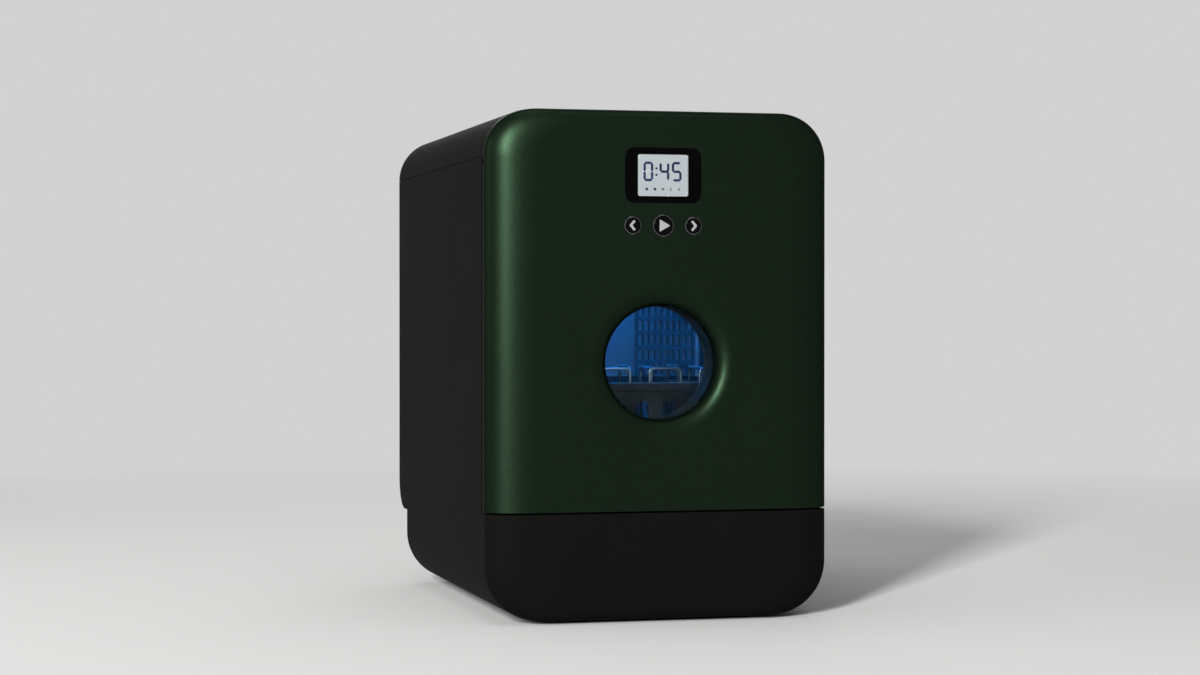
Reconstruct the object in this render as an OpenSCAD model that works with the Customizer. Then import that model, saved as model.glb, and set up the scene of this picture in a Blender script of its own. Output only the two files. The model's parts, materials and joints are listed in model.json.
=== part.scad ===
// Countertop dishwasher with a side-hinged door, a round window and its own water tank.
// Frame: origin at the centre of the footprint on the table, +X right, +Y back, +Z up.

/* [Body] */
// Width across the sides
body_w = 340; // [336:1:350]
// Height from the table to the top
body_h = 490; // [486:1:500]
// Depth from the door's face to the back of the upper body
body_d = 490; // [486:1:500]
// Thickness of the moulded casing
case_t = 2.5; // [2:0.1:3]
// Distance of the seam between the side panels and the top cover below the top
seam_drop = 45; // [44:1:47]
// Radius of the top corners, seen from the front
top_corner_r = 45; // [43:1:46]
// Radius of the bottom corners, seen from the front
low_corner_r = 52.5; // [48:0.5:56]
// Gap under the body, filled by the feet
foot_h = 3; // [2.5:0.1:4]
// Radius of a foot
foot_r = 13; // [10:1:16]
// How far the upper body reaches back past the base
overhang = 49; // [46:1:52]
// Height of the underside of the overhang
overhang_z = 80; // [76:1:82]
// Radius of the overhang's lower edge
overhang_r = 33; // [30:1:36]

/* [Door] */
// Thickness of the door
door_t = 34; // [33:1:36]
// Gap behind the door
door_gap = 2; // [1.8:0.1:2.5]
// Height of the door's bottom line
door_low = 107; // [106:1:108]
// Gap between the door and the fascia under it
fascia_gap = 2; // [1.8:0.1:2.5]
// Wall of the door shell
door_wall = 4; // [3.6:0.1:4.2]
// Width of the rounding along the front's left and right edges
edge_w = 46; // [42:1:50]
// Depth of that rounding
edge_d = 23; // [20:1:25]
// Size of the rounding along the front's top and bottom edges
edge_z = 13; // [11:1:15]
// Distance of the hinge axis from the door's left face
hinge_in = 7; // [6.8:0.1:7.2]
// Radius of the hinge pins
hinge_pin_r = 2.5; // [2.3:0.1:2.6]
// Running clearance round the hinge pins
pin_gap = 0.05; // [0.03:0.01:0.08]
// Depth of the liner's plug behind the door
plug_d = 16; // [14:1:17]
// Height of the finger recess in the door's right edge
grip_h = 96; // [80:2:110]

/* [Window] */
// Height of the window's centre
window_z = 248.5; // [244:0.5:252]
// Radius of the window opening
window_r = 54.5; // [52:0.5:57]
// Width of the flare round the window
flare_w = 10; // [8:1:12]
// Depth of the flare
flare_d = 9; // [8:1:10]
// Depth of the outer pane behind the door's face
pane_in = 15; // [14:0.5:16]
// Thickness of the panes
pane_t = 4; // [3:0.5:4]

/* [Controls] */
// Distance of the display's centre below the top
display_drop = 62.5; // [60:0.5:66]
// Width of the display glass
display_w = 75; // [70:1:80]
// Height of the display glass
display_h = 52.5; // [48:0.5:56]
// Width of the lit screen
screen_w = 50; // [44:1:54]
// Height of the lit screen
screen_h = 40; // [36:1:42]
// Distance of the buttons' centres below the top
button_drop = 110.5; // [108:0.5:114]
// Distance between neighbouring buttons
button_pitch = 30; // [28:0.5:34]
// Radius of the outer buttons' caps
side_button_r = 7.2; // [6.5:0.1:8]
// Radius of the middle button's cap
play_button_r = 9.2; // [8.5:0.1:10]
// Width of the bright ring round a button
ring_w = 1.3; // [1:0.1:1.6]
// Gap between a button and its ring
button_gap = 0.3; // [0.25:0.05:0.4]
// Travel of a button
button_travel = 1.2; // [1:0.1:1.4]

/* [Tub] */
// Distance of the tub's side walls from the body's sides
side_gap = 22; // [20:1:24]
// Height of the tub's floor
tub_low = 110; // [109.5:0.5:112]
// Distance of the tub's ceiling below the top
head_room = 60; // [58:1:66]
// Depth of the room between the tub and the back of the base
back_room = 68; // [66:1:72]
// Thickness of the tub's walls
tub_t = 2; // [1.6:0.1:2.4]
// Radius of the tub's long corners
tub_r = 20; // [16:1:24]
// Distance of the sump's axis behind the tub's middle
sump_shift = 3; // [0:1:8]
// Radius of the sump
sump_r = 42; // [38:1:45]

/* [Rack] */
// Gap between the basket and the tub's side walls
basket_gap = 14; // [14:0.5:16]
// Gap between the basket and the tub's back wall
basket_rear_gap = 13.4; // [12:0.1:16]
// Height of the basket's floor
basket_low = 137; // [136:0.5:140]
// Height of the basket's rim
rim_z = 228; // [224:1:232]
// Wall of the basket
basket_t = 3; // [2.4:0.2:3.4]
// Distance between neighbouring arches in the basket's walls
arch_pitch = 26; // [24:1:30]
// Width of an arch
arch_w = 15; // [13:1:17]
// Radius of the rack's wire
wire_r = 1.5; // [1.2:0.1:1.8]
// Height of the wire hoops above the rim
hoop_h = 15; // [12:1:18]

/* [Spray arm] */
// Length of the spray arm
arm_len = 230; // [210:2:250]
// Radius of the post that the spray arm turns on
post_r = 6; // [5:0.5:7]

/* [Tank and fill port] */
// Depth of the water tank
tank_d = 96; // [90:1:98]
// Distance of the tank's top below the body's top
tank_drop = 70; // [68:1:80]
// Wall of the tank
tank_t = 3; // [2.4:0.2:3.4]
// Radius of the fill port's throat
throat_r = 32; // [28:1:34]
// Radius of the fill lid
lid_r = 38; // [36:1:40]
// Distance of the fill port's centre from the tank's front wall
port_in = 39; // [37:1:42]

/* [Hidden] */

half_w = body_w / 2;
play_out = 1.6;
front_y = -body_d / 2 + play_out;
back_y = body_d / 2;
base_back = back_y - overhang;
case_y = front_y + door_t + door_gap;
door_back = front_y + door_t;
fascia_z = door_low - fascia_gap;
seat = 0.3;
play = 0.5;
catch_x = half_w - 11;
catch_z = body_h - 130;
seam_z = body_h - seam_drop;

hinge_x = -half_w + hinge_in;
hinge_y = door_back - hinge_in;
hinge_corner_r = 4.5;
tub_w = body_w - 2 * side_gap;
tub_high = body_h - head_room;
tub_back = base_back - back_room;
hinge_arm_z = tub_high + 8;
hinge_arm_t = 4;
hinge_pin_len = 12;
bush_r = hinge_pin_r + pin_gap + 1.25;
boss_x = hinge_x + 8;
boss_y = door_back - 17;
boss_h = 16;
liner_t = 3;
liner_in = door_wall + seat;
plug_w = tub_w - 16;
plug_low = tub_low + 9;
plug_high = tub_high - 7;
plug_r = 18;
plug_back = door_back + plug_d;
frame_y = case_y + 0.5;
frame_t = 3;
tub_front = frame_y + frame_t;
deck_z = tub_low - tub_t;
deck_t = 3;
floor_z = foot_h + case_t;
sump_y = (tub_front + tub_back) / 2 + sump_shift;
sump_low = 66;
sump_t = 2.5;

outer_pane_y = front_y + pane_in;
liner_back_t = 2.5;
inner_pane_y = plug_back - liner_back_t - pane_t;
pane_r = window_r + 4;
sleeve_t = 2.5;

display_z = body_h - display_drop;
button_z = body_h - button_drop;
glass_t = 2;
display_in = 0.6;
screen_t = 1.5;
board_y = front_y + 14;
board_t = 1.6;
button_xs = [-button_pitch, 0, button_pitch];
button_rs = [side_button_r, play_button_r, side_button_r];
button_out = [play_out / 2, play_out, play_out / 2];
button_len = board_y - front_y - button_travel - play;

runner_z = 176;
runner_h = 8;
basket_w = tub_w - 2 * basket_gap;
basket_front = tub_front + 30.5;
basket_back = tub_back - basket_rear_gap;
rail_gap = 0.4;
slot_pitch = 42;
rim_out = 3;
joint_gap = 0.05;
rim_h = 9;

arm_z = 121;
arm_t = 9;
arm_w = 34;

tank_high = body_h - tank_drop;
tank_y = tub_back + tub_t + 7;
port_y = tank_y + port_in;
tank_back = tank_y + tank_d;
tank_w = body_w - 2 * case_t - 46;
neck_r = throat_r + 3;
throat_t = 3;
well_z = body_h - 12;
lid_t = 3.2;
lid_axis_y = port_y + lid_r + 5;
lid_axis_z = body_h - 2.4;
lid_pin_r = 1.2;
lid_lug_w = 10;
lid_slot_w = 15;

pump_x = -78;
pump_y = 36;
pump_r = 34;
pump_z = 52;
pump_h = 28;
impeller_r = 24;
shaft_r = 3;
drain_x = 78;
drain_y = 40;
drain_z = 38;
drain_r = 22;
fan_x = -tub_w / 2 + 70;
fan_y = 30;
fan_r = 38;
fan_z = tub_high + tub_t;
fan_h = 30;
box_x0 = half_w - 130;
box_x1 = half_w - 34;
box_y0 = fan_y - 90;
box_y1 = fan_y + 40;
box_t = 2.5;
box_h = 28;
valve_y = base_back - 60;
hose_y = base_back - 31;

inlet_x = -96;
inlet_z = 46;
inlet_r = 13.2;
inlet_len = 19;
spigot_len = 33;
collar_t = 3;
spigot_x = -42;
spigot_z = 40;
spigot_r = 10;
mains_x = 96;
mains_z = 46;

function edge_in(y, w, d) = y < d ? w * (1 - sqrt(1 - pow(1 - y / d, 2))) : 0;

module box(a, b) {
    translate(a) cube(b - a);
}

module rod_x(r, x0, x1, y, z) {
    translate([x0, y, z]) rotate([0, 90, 0]) cylinder(r = r, h = x1 - x0, $fn = 48);
}

module rod_y(r, y0, y1, x, z) {
    translate([x, y0, z]) rotate([-90, 0, 0]) cylinder(r = r, h = y1 - y0, $fn = 64);
}

module rod_z(r, z0, z1, x, y) {
    translate([x, y, z0]) cylinder(r = r, h = z1 - z0, $fn = 64);
}

module rounded(x0, x1, z0, z1, r) {
    translate([x0 + r, z0]) square([x1 - x0 - 2 * r, z1 - z0]);
    translate([x0, z0 + r]) square([x1 - x0, z1 - z0 - 2 * r]);
    for (x = [x0 + r, x1 - r], z = [z0 + r, z1 - r]) translate([x, z]) circle(r = r, $fn = 64);
}

module tile_y(x0, x1, y0, y1, z0, z1, r) {
    translate([0, y1, 0]) rotate([90, 0, 0]) linear_extrude(y1 - y0) rounded(x0, x1, z0, z1, r);
}

module tile_z(x0, x1, y0, y1, z0, z1, r) {
    translate([0, 0, z0]) linear_extrude(z1 - z0) rounded(x0, x1, y0, y1, r);
}

// Outline of the body seen from the front, drawn in by "inset"
module front_outline(inset) {
    w = half_w - inset;
    low = foot_h + inset;
    high = body_h - inset;
    rt = top_corner_r - inset;
    rl = low_corner_r - inset;
    translate([-w, low + rl]) square([2 * w, high - rt - low - rl]);
    translate([-w + rl, low]) square([2 * (w - rl), high - low - rt]);
    translate([-w + rt, low + rl]) square([2 * (w - rt), high - low - rl]);
    for (s = [-1, 1]) {
        translate([s * (w - rt), high - rt]) circle(r = rt, $fn = 96);
        translate([s * (w - rl), low + rl]) circle(r = rl, $fn = 96);
    }
}

// Outline of the body behind the door seen from the side, drawn in by "inset"
module side_outline(inset, front) {
    low = foot_h + inset;
    high = body_h - inset;
    r = overhang_r - inset;
    translate([front, low]) square([base_back - inset - front, high - low]);
    translate([front, overhang_z + inset + r]) square([back_y - inset - front, high - overhang_z - inset - r]);
    translate([front, overhang_z + inset]) square([back_y - inset - r - front, high - overhang_z - inset]);
    translate([back_y - inset - r, overhang_z + inset + r]) circle(r = r, $fn = 96);
}

module body_form(inset, front) {
    intersection() {
        translate([0, back_y + 1, 0]) rotate([90, 0, 0])
            linear_extrude(body_d + 2) front_outline(inset);
        translate([-half_w - 1, 0, 0]) rotate([90, 0, 90])
            linear_extrude(body_w + 2) side_outline(inset, front);
    }
}

// Outline of a pillow-edged block at one depth: round corners of radius r at the top
corner_steps = 10;
function pillow_ring(depth, y, z_low, z_top, r, inset) =
    let (w = half_w - inset - edge_in(depth, edge_w - inset, edge_d - inset),
        z = z_top - inset - edge_in(depth, edge_z, edge_z), c = r - inset, n = corner_steps)
    concat([[-w, y, z_low + inset]],
        [for (i = [0 : n]) [-w + c - c * cos(90 * i / n), y, z - c + c * sin(90 * i / n)]],
        [for (i = [0 : n]) [w - c + c * sin(90 * i / n), y, z - c + c * cos(90 * i / n)]],
        [[w, y, z_low + inset]]);

module pillow(z_low, z_top, r, y1, inset) {
    m = 2 * corner_steps + 4;
    depth = edge_d - inset;
    angles = [for (a = [0 : 10 : 90]) depth * (1 - cos(a))];
    rings = concat([for (d = angles) pillow_ring(d, front_y + inset + d, z_low, z_top, r, inset)],
        [pillow_ring(depth, y1, z_low, z_top, r, inset)]);
    n = len(rings);
    polyhedron(points = [for (ring = rings) each ring], faces = concat(
        [[for (j = [0 : m - 1]) j]],
        [[for (j = [m - 1 : -1 : 0]) (n - 1) * m + j]],
        [for (k = [0 : n - 2], j = [0 : m - 1]) [k * m + j, (k + 1) * m + j, (k + 1) * m + (j + 1) % m]],
        [for (k = [0 : n - 2], j = [0 : m - 1]) [k * m + j, (k + 1) * m + (j + 1) % m, k * m + (j + 1) % m]]));
}

// Tube swept along a route, with the route's corners rounded by radius b
function unit(v) = v / norm(v);
function bent(p, b) = concat([p[0]], [for (i = [1 : len(p) - 2]) let (u = b * unit(p[i - 1] - p[i]),
    v = b * unit(p[i + 1] - p[i])) each [p[i] + u, p[i] + 0.19 * u + 0.19 * v, p[i] + v]], [p[len(p) - 1]]);
function tangents(p) = [for (i = [0 : len(p) - 1]) unit(p[min(i + 1, len(p) - 1)] - p[max(i - 1, 0)])];
function sides(t, i, u) = i >= len(t) ? [] : let (v = unit(u - (u * t[i]) * t[i])) concat([v], sides(t, i + 1, v));

module sweep(route, r, b, m = 10) {
    path = bent(route, b);
    t = tangents(path);
    side = sides(t, 0, abs(t[0][2]) < 0.9 ? [0, 0, 1] : [1, 0, 0]);
    n = len(path);
    polyhedron(points = [for (i = [0 : n - 1], j = [0 : m - 1])
            path[i] + r * (cos(360 * j / m) * side[i] + sin(360 * j / m) * cross(t[i], side[i]))],
        faces = concat(
            [[for (j = [0 : m - 1]) j]],
            [[for (j = [m - 1 : -1 : 0]) (n - 1) * m + j]],
            [for (k = [0 : n - 2], j = [0 : m - 1])
                [k * m + j, (k + 1) * m + j, (k + 1) * m + (j + 1) % m]],
            [for (k = [0 : n - 2], j = [0 : m - 1])
                [k * m + j, (k + 1) * m + (j + 1) % m, k * m + (j + 1) % m]]));
}

// Casing

module casing() {
    color("#111110") difference() {
        body_form(0, case_y);
        body_form(case_t, case_y - 1);
        box([-half_w - 1, case_y - 1, seam_z], [half_w + 1, back_y + 1, body_h + 1]);
        rear_window(0);
        rod_y(inlet_r + seat, base_back - 4, base_back + 1, inlet_x, inlet_z);
        rod_y(spigot_r + seat, base_back - 4, base_back + 1, spigot_x, spigot_z);
        tile_y(mains_x - 16, mains_x + 16, base_back - 4, base_back + 1, mains_z - 12, mains_z + 12, 3);
        for (i = [-4 : 4]) tile_z(i * 14 - 3, i * 14 + 3, 90, 150, foot_h - 1, floor_z + 1, 2.9);
    }
}

module rear_window(inset) {
    tile_y(-half_w + 42 + inset, half_w - 42 - inset, back_y - case_t - 1, back_y + 1,
        overhang_z + overhang_r + 14 + inset, seam_z - 22 - inset, 12 - inset);
}

module rear_cover() {
    vent_n = 9;
    color("#161615") difference() {
        union() {
            intersection() {
                rear_window(seat);
                box([-half_w, back_y - case_t, 0], [half_w, back_y - 0.4, body_h]);
            }
            tile_y(-half_w + 34, half_w - 34, back_y - case_t - 2, back_y - case_t,
                overhang_z + overhang_r + 6, seam_z - 14, 14);
        }
        for (i = [0 : vent_n - 1], s = [-1, 1]) tile_y(s * 62 - 34, s * 62 + 34,
            back_y - case_t - 3, back_y + 1, 320 + i * 9, 324 + i * 9, 1.9);
        for (p = cover_screws()) rod_y(1.8, back_y - case_t - 3, back_y + 1, p[0], p[1]);
    }
}

function cover_screws() = [for (s = [-1, 1], z = [overhang_z + overhang_r + 26, 262, seam_z - 34])
    [s * (half_w - 54), z]];

module rear_screws() {
    color("#8a8d90") for (p = cover_screws()) {
        rod_y(1.6, back_y - case_t - 6, back_y - 0.4, p[0], p[1]);
        difference() {
            rod_y(3.4, back_y - 0.4, back_y, p[0], p[1]);
            box([p[0] - 2.2, back_y - 0.2, p[1] - 0.4], [p[0] + 2.2, back_y + 1, p[1] + 0.4]);
        }
    }
}

module top_cover() {
    color("#131312") difference() {
        union() {
            difference() {
                body_form(0, case_y);
                body_form(case_t, case_y - 1);
                box([-half_w - 1, case_y - 1, 0], [half_w + 1, back_y + 1, seam_z]);
            }
            rod_z(lid_r + 5, well_z, body_h - case_t, 0, port_y);
            box([-lid_slot_w - 4, port_y + 20, well_z], [lid_slot_w + 4, lid_axis_y + 7, body_h - case_t]);
        }
        rod_z(lid_r + play, body_h - lid_t - seat, body_h + 1, 0, port_y);
        rod_z(throat_r, well_z - 1, body_h + 1, 0, port_y);
        box([-lid_slot_w, port_y + 24, body_h - 6], [lid_slot_w, lid_axis_y + 3.2, body_h + 1]);
        rod_x(lid_pin_r, -lid_slot_w - 3, lid_slot_w + 3, lid_axis_y, lid_axis_z);
        rod_y(11, port_y - lid_r - 4, port_y - lid_r + 3, 0, body_h + 5);
    }
}

module fill_lid_pin() {
    color("#9a9c9e") rod_x(lid_pin_r, -lid_slot_w - 3, lid_slot_w + 3, lid_axis_y, lid_axis_z);
}

module fill_lid() {
    color("#171716") difference() {
        union() {
            rod_z(lid_r, body_h - lid_t, body_h, 0, port_y);
            rod_z(throat_r - 0.8, body_h - lid_t - 4, body_h - lid_t, 0, port_y);
            for (s = [-1, 1]) {
                box([s * 8 - lid_lug_w / 2, port_y + lid_r - 4, body_h - 3.2],
                    [s * 8 + lid_lug_w / 2, lid_axis_y, body_h - 0.2]);
                rod_x(2.2, s * 8 - lid_lug_w / 2, s * 8 + lid_lug_w / 2, lid_axis_y, lid_axis_z);
            }
        }
        rod_z(throat_r - 3, body_h - lid_t - 5, body_h - lid_t, 0, port_y);
        rod_x(lid_pin_r + pin_gap, -lid_slot_w - 5, lid_slot_w + 5, lid_axis_y, lid_axis_z);
    }
}

module plinth() {
    h = fascia_z - foot_h;
    wall = 3;
    color("#121211") difference() {
        translate([0, 0, fascia_z]) mirror([0, 0, 1]) difference() {
            pillow(0, h, low_corner_r, case_y, 0);
            pillow(0, h, low_corner_r, case_y + 1, wall);
        }
        rod_z(hinge_pin_r + seat, fascia_z - wall - 1, fascia_z + 1, hinge_x, hinge_y);
    }
}

module feet() {
    color("#1c1c1c") for (x = [-1, 1], y = [front_y + 62, base_back - 34])
        translate([x * (half_w - low_corner_r - 12), y, 0]) rotate_extrude($fn = 64)
            polygon([[0, 0], [foot_r - 1, 0], [foot_r, 1], [foot_r, foot_h], [0, foot_h]]);
}

module front_frame() {
    color("#1b1b1a") difference() {
        translate([0, tub_front, 0]) rotate([90, 0, 0]) linear_extrude(frame_t) intersection() {
            front_outline(case_t);
            translate([-half_w, deck_z - 12]) square([body_w, body_h]);
        }
        tile_y(-tub_w / 2, tub_w / 2, frame_y - 1, tub_front + 1, tub_low, tub_high, tub_r);
        box([catch_x - 5, frame_y - 1, catch_z - 20], [catch_x + 5, tub_front + 1, catch_z + 20]);
        box([hinge_x - 4.2, frame_y - 1, hinge_arm_z - 0.2],
            [hinge_x + 5.7, tub_front + 1, hinge_arm_z + hinge_arm_t + 0.2]);
    }
}

module base_deck() {
    leg_x = 100;
    color("#2b2c2e") {
        difference() {
            box([-half_w + 5, tub_front, deck_z - deck_t], [half_w - 5, base_back - case_t, deck_z]);
            rod_z(sump_r + play, deck_z - deck_t - 1, deck_z + 1, 0, sump_y);
        }
        for (x = [-leg_x, leg_x], y = [tub_front + 20, tub_back - 10])
            rod_z(9, floor_z, deck_z - deck_t, x, y);
    }
}

// Tub and what is fixed in it

module tub() {
    color("#bfc3c7") difference() {
        tile_y(-tub_w / 2 - tub_t, tub_w / 2 + tub_t, tub_front, tub_back + tub_t,
            tub_low - tub_t, tub_high + tub_t, tub_r + tub_t);
        tile_y(-tub_w / 2, tub_w / 2, tub_front - 1, tub_back, tub_low, tub_high, tub_r);
        rod_z(sump_r - 6, tub_low - tub_t - 1, tub_low + 1, 0, sump_y);
    }
}

module back_grille() {
    x0 = 72;
    x1 = tub_w / 2 - 8;
    z0 = 178;
    row_h = 16;
    bars = 9;
    pitch = (x1 - x0 - 4) / bars;
    color("#3f4448") difference() {
        tile_y(x0, x1, tub_back - 6, tub_back, z0, z0 + 10 * row_h, 3);
        for (i = [0 : bars - 1], k = [0 : 9])
            box([x0 + 3.4 + i * pitch, tub_back - 7, z0 + 3 + k * row_h],
                [x0 + 3.4 + (i + 0.62) * pitch, tub_back + 1, z0 + k * row_h + row_h - 1]);
    }
}

module tub_light() {
    color("#4aa3ff") tile_y(-60, 60, tub_front + 24, tub_front + 34, tub_high - 4, tub_high, 1.9);
}

module rack_runners() {
    w = (tub_w - basket_w) / 2;
    color("#c9ccce") for (s = [0, 1]) mirror([s, 0, 0]) {
        box([tub_w / 2 - w + rail_gap, basket_front + 4, runner_z - 2], [tub_w / 2, tub_back - 20, runner_z]);
        box([tub_w / 2 - 3, basket_front + 4, runner_z], [tub_w / 2, tub_back - 20, runner_z + runner_h + 4]);
    }
}

module sump() {
    color("#33363a") difference() {
        union() {
            rod_z(sump_r, sump_low, deck_z, 0, sump_y);
            rod_y(9, sump_y + sump_r - 4, sump_y + sump_r + 12, -14, sump_low + 16);
            rod_y(7, sump_y + sump_r - 4, sump_y + sump_r + 12, 14, sump_low + 12);
        }
        rod_z(sump_r - sump_t, sump_low + sump_t, deck_z + 1, 0, sump_y);
        rod_y(6.5, sump_y + sump_r - 10, sump_y + sump_r + 13, -14, sump_low + 16);
        rod_y(4.5, sump_y + sump_r - 10, sump_y + sump_r + 13, 14, sump_low + 12);
    }
}

module filter_cup() {
    r = sump_r - 12;
    color("#8f959a") difference() {
        union() {
            rod_z(r, sump_low + sump_t, tub_low, 0, sump_y);
            rod_z(sump_r - 1, tub_low, tub_low + 1.6, 0, sump_y);
        }
        rod_z(r - 2, sump_low + sump_t + 2, tub_low + 3, 0, sump_y);
        for (a = [0 : 45 : 135], z = [sump_low + 9, sump_low + 23]) translate([0, sump_y, z])
            rotate([0, 0, a]) cube([2 * sump_r, 4, 10], center = true);
    }
}

module spray_post() {
    color("#3a3d40") {
        rod_z(post_r, sump_low + sump_t + 2, arm_z + arm_t + 1.5, 0, sump_y);
        rod_z(post_r + 3, sump_low + sump_t + 2, arm_z - seat, 0, sump_y);
        rod_z(post_r + 2.5, arm_z + arm_t + 0.3, arm_z + arm_t + 3, 0, sump_y);
    }
}

module heater_ring() {
    color("#a9adb0") {
        translate([0, sump_y, tub_low + 5]) rotate_extrude($fn = 96)
            translate([74, 0]) circle(r = 3.2, $fn = 32);
        for (a = [45, 135, 225, 315]) translate([0, sump_y, 0]) rotate([0, 0, a])
            box([71.5, -2, tub_low], [76.5, 2, tub_low + 3.4]);
    }
}

// Pumps, motors, tank and pipes

module wash_pump_housing() {
    color("#2f3235") difference() {
        union() {
            rod_z(pump_r, pump_z, pump_z + pump_h, pump_x, pump_y);
            rod_x(8, pump_x, pump_x + 50, pump_y + 16, pump_z + 14);
            rod_z(10, pump_z + pump_h - 4, deck_z - deck_t, pump_x, pump_y);
        }
        rod_z(impeller_r + 3, pump_z + 4, pump_z + pump_h - 4, pump_x, pump_y);
        rod_z(shaft_r + 1, pump_z - 1, pump_z + 5, pump_x, pump_y);
        rod_x(5.5, pump_x + 20, pump_x + 51, pump_y + 16, pump_z + 14);
    }
}

module wash_motor() {
    color("#b4b7b9") {
        rod_z(29, floor_z, pump_z, pump_x, pump_y);
        rod_z(shaft_r, pump_z, pump_z + 9, pump_x, pump_y);
    }
}

module drain_pump_housing() {
    color("#2f3235") difference() {
        union() {
            rod_z(drain_r, drain_z, drain_z + 22, drain_x, drain_y);
            rod_x(6.5, drain_x - 36, drain_x, drain_y - 8, drain_z + 11);
            rod_y(6.5, drain_y, drain_y + 34, drain_x, drain_z + 11);
        }
        rod_z(drain_r - 4, drain_z + 3, drain_z + 19, drain_x, drain_y);
        rod_z(shaft_r, drain_z - 1, drain_z + 4, drain_x, drain_y);
        rod_x(4, drain_x - 37, drain_x - 14, drain_y - 8, drain_z + 11);
        rod_y(4, drain_y + 14, drain_y + 35, drain_x, drain_z + 11);
    }
}

module drain_motor() {
    color("#b4b7b9") {
        rod_z(19, floor_z, drain_z, drain_x, drain_y);
        rod_z(2, drain_z, drain_z + 8, drain_x, drain_y);
    }
}

module impeller(x, y, z, r, h, bore) {
    difference() {
        union() {
            rod_z(r, z, z + 2, x, y);
            rod_z(bore + 3, z, z + h, x, y);
            for (a = [0 : 60 : 300]) translate([x, y, z]) rotate([0, 0, a])
                box([bore + 1, -1, 0], [r - 1, 1, h]);
        }
        rod_z(bore, z - 1, z + h + 1, x, y);
    }
}

module water_hoses() {
    pump_out = [pump_x + 50, pump_y + 16, pump_z + 14];
    sump_out = [-14, sump_y + sump_r + 12, sump_low + 16];
    sump_drain = [14, sump_y + sump_r + 12, sump_low + 12];
    drain_in = [drain_x - 36, drain_y - 8, drain_z + 11];
    drain_out = [drain_x, drain_y + 34, drain_z + 11];
    spigot_in = [spigot_x, base_back - 22, spigot_z];
    color("#1f2022") {
        sweep([pump_out, pump_out + [12, 0, 0], sump_out + [0, 22, 0], sump_out], 7.6, 5);
        sweep([sump_drain, sump_drain + [0, 12, 0], drain_in - [12, 0, 0], drain_in], 6.2, 4);
        sweep([drain_out, [drain_x, base_back - 84, drain_z + 11], [20, base_back - 50, 58],
            [spigot_x, base_back - 38, spigot_z], spigot_in], 6.2, 6);
        sweep([[inlet_x, hose_y, deck_z - deck_t], [inlet_x, hose_y, 84], [inlet_x, hose_y, inlet_z + 14]], 6.2, 4);
    }
}

module water_tank() {
    color("#e4e7e9") difference() {
        union() {
            tile_z(-tank_w / 2, tank_w / 2, tank_y, tank_back, deck_z, tank_high, 12);
            rod_z(neck_r, tank_high - 1, tank_high + 14, 0, port_y);
        }
        tile_z(-tank_w / 2 + tank_t, tank_w / 2 - tank_t, tank_y + tank_t, tank_back - tank_t,
            deck_z + tank_t, tank_high - tank_t, 9);
        rod_z(neck_r - tank_t, tank_high - 5, tank_high + 15, 0, port_y);
    }
}

module fill_funnel() {
    low = tank_high + 14;
    color("#26282a") difference() {
        union() {
            rod_z(throat_r + throat_t, low, well_z, 0, port_y);
            rod_z(neck_r + 4, low, low + 3, 0, port_y);
        }
        rod_z(throat_r, low - 1, well_z + 1, 0, port_y);
    }
}

module inlet_valve() {
    color("#3d4145") {
        box([inlet_x - 18, valve_y, inlet_z - 14], [inlet_x + 18, base_back - case_t - 8, inlet_z + 14]);
        rod_y(8, base_back - case_t - 8, base_back - case_t - 2, inlet_x, inlet_z);
        box([inlet_x - 12, valve_y + 4, floor_z], [inlet_x + 12, valve_y + 24, inlet_z - 14]);
    }
}

module inlet_connector() {
    color("#d8dadb") difference() {
        union() {
            rod_y(inlet_r, base_back - case_t - 2, base_back + inlet_len, inlet_x, inlet_z);
            rod_y(inlet_r + 3, base_back - case_t - 2, base_back - case_t, inlet_x, inlet_z);
            rod_y(inlet_r + 3, base_back, base_back + collar_t, inlet_x, inlet_z);
        }
        rod_y(9, base_back + 2, base_back + inlet_len + 1, inlet_x, inlet_z);
    }
}

module drain_spigot() {
    color("#5b5f63") difference() {
        union() {
            rod_y(spigot_r, base_back - 22, base_back + spigot_len, spigot_x, spigot_z);
            rod_y(spigot_r + 4, base_back - case_t - 2, base_back - case_t, spigot_x, spigot_z);
            rod_y(spigot_r + 4, base_back, base_back + collar_t, spigot_x, spigot_z);
        }
        rod_y(7.5, base_back - 18, base_back + spigot_len + 1, spigot_x, spigot_z);
    }
}

module mains_inlet() {
    color("#1d1d1d") difference() {
        union() {
            tile_y(mains_x - 15.7, mains_x + 15.7, base_back - 24, base_back, mains_z - 11.7, mains_z + 11.7, 2.7);
            tile_y(mains_x - 20, mains_x + 20, base_back, base_back + 2.5, mains_z - 16, mains_z + 16, 4);
            tile_y(mains_x - 20, mains_x + 20, base_back - case_t - 2, base_back - case_t,
                mains_z - 16, mains_z + 16, 4);
        }
        difference() {
            tile_y(mains_x - 12.2, mains_x + 12.2, base_back - 16, base_back + 3, mains_z - 8.4, mains_z + 8.4, 2);
            for (i = [-1 : 1]) box([mains_x + i * 7 - 1, base_back - 17, mains_z + 1 - 3 * abs(i)],
                [mains_x + i * 7 + 1, base_back - 2, mains_z + 5 - 3 * abs(i)]);
        }
    }
}

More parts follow.
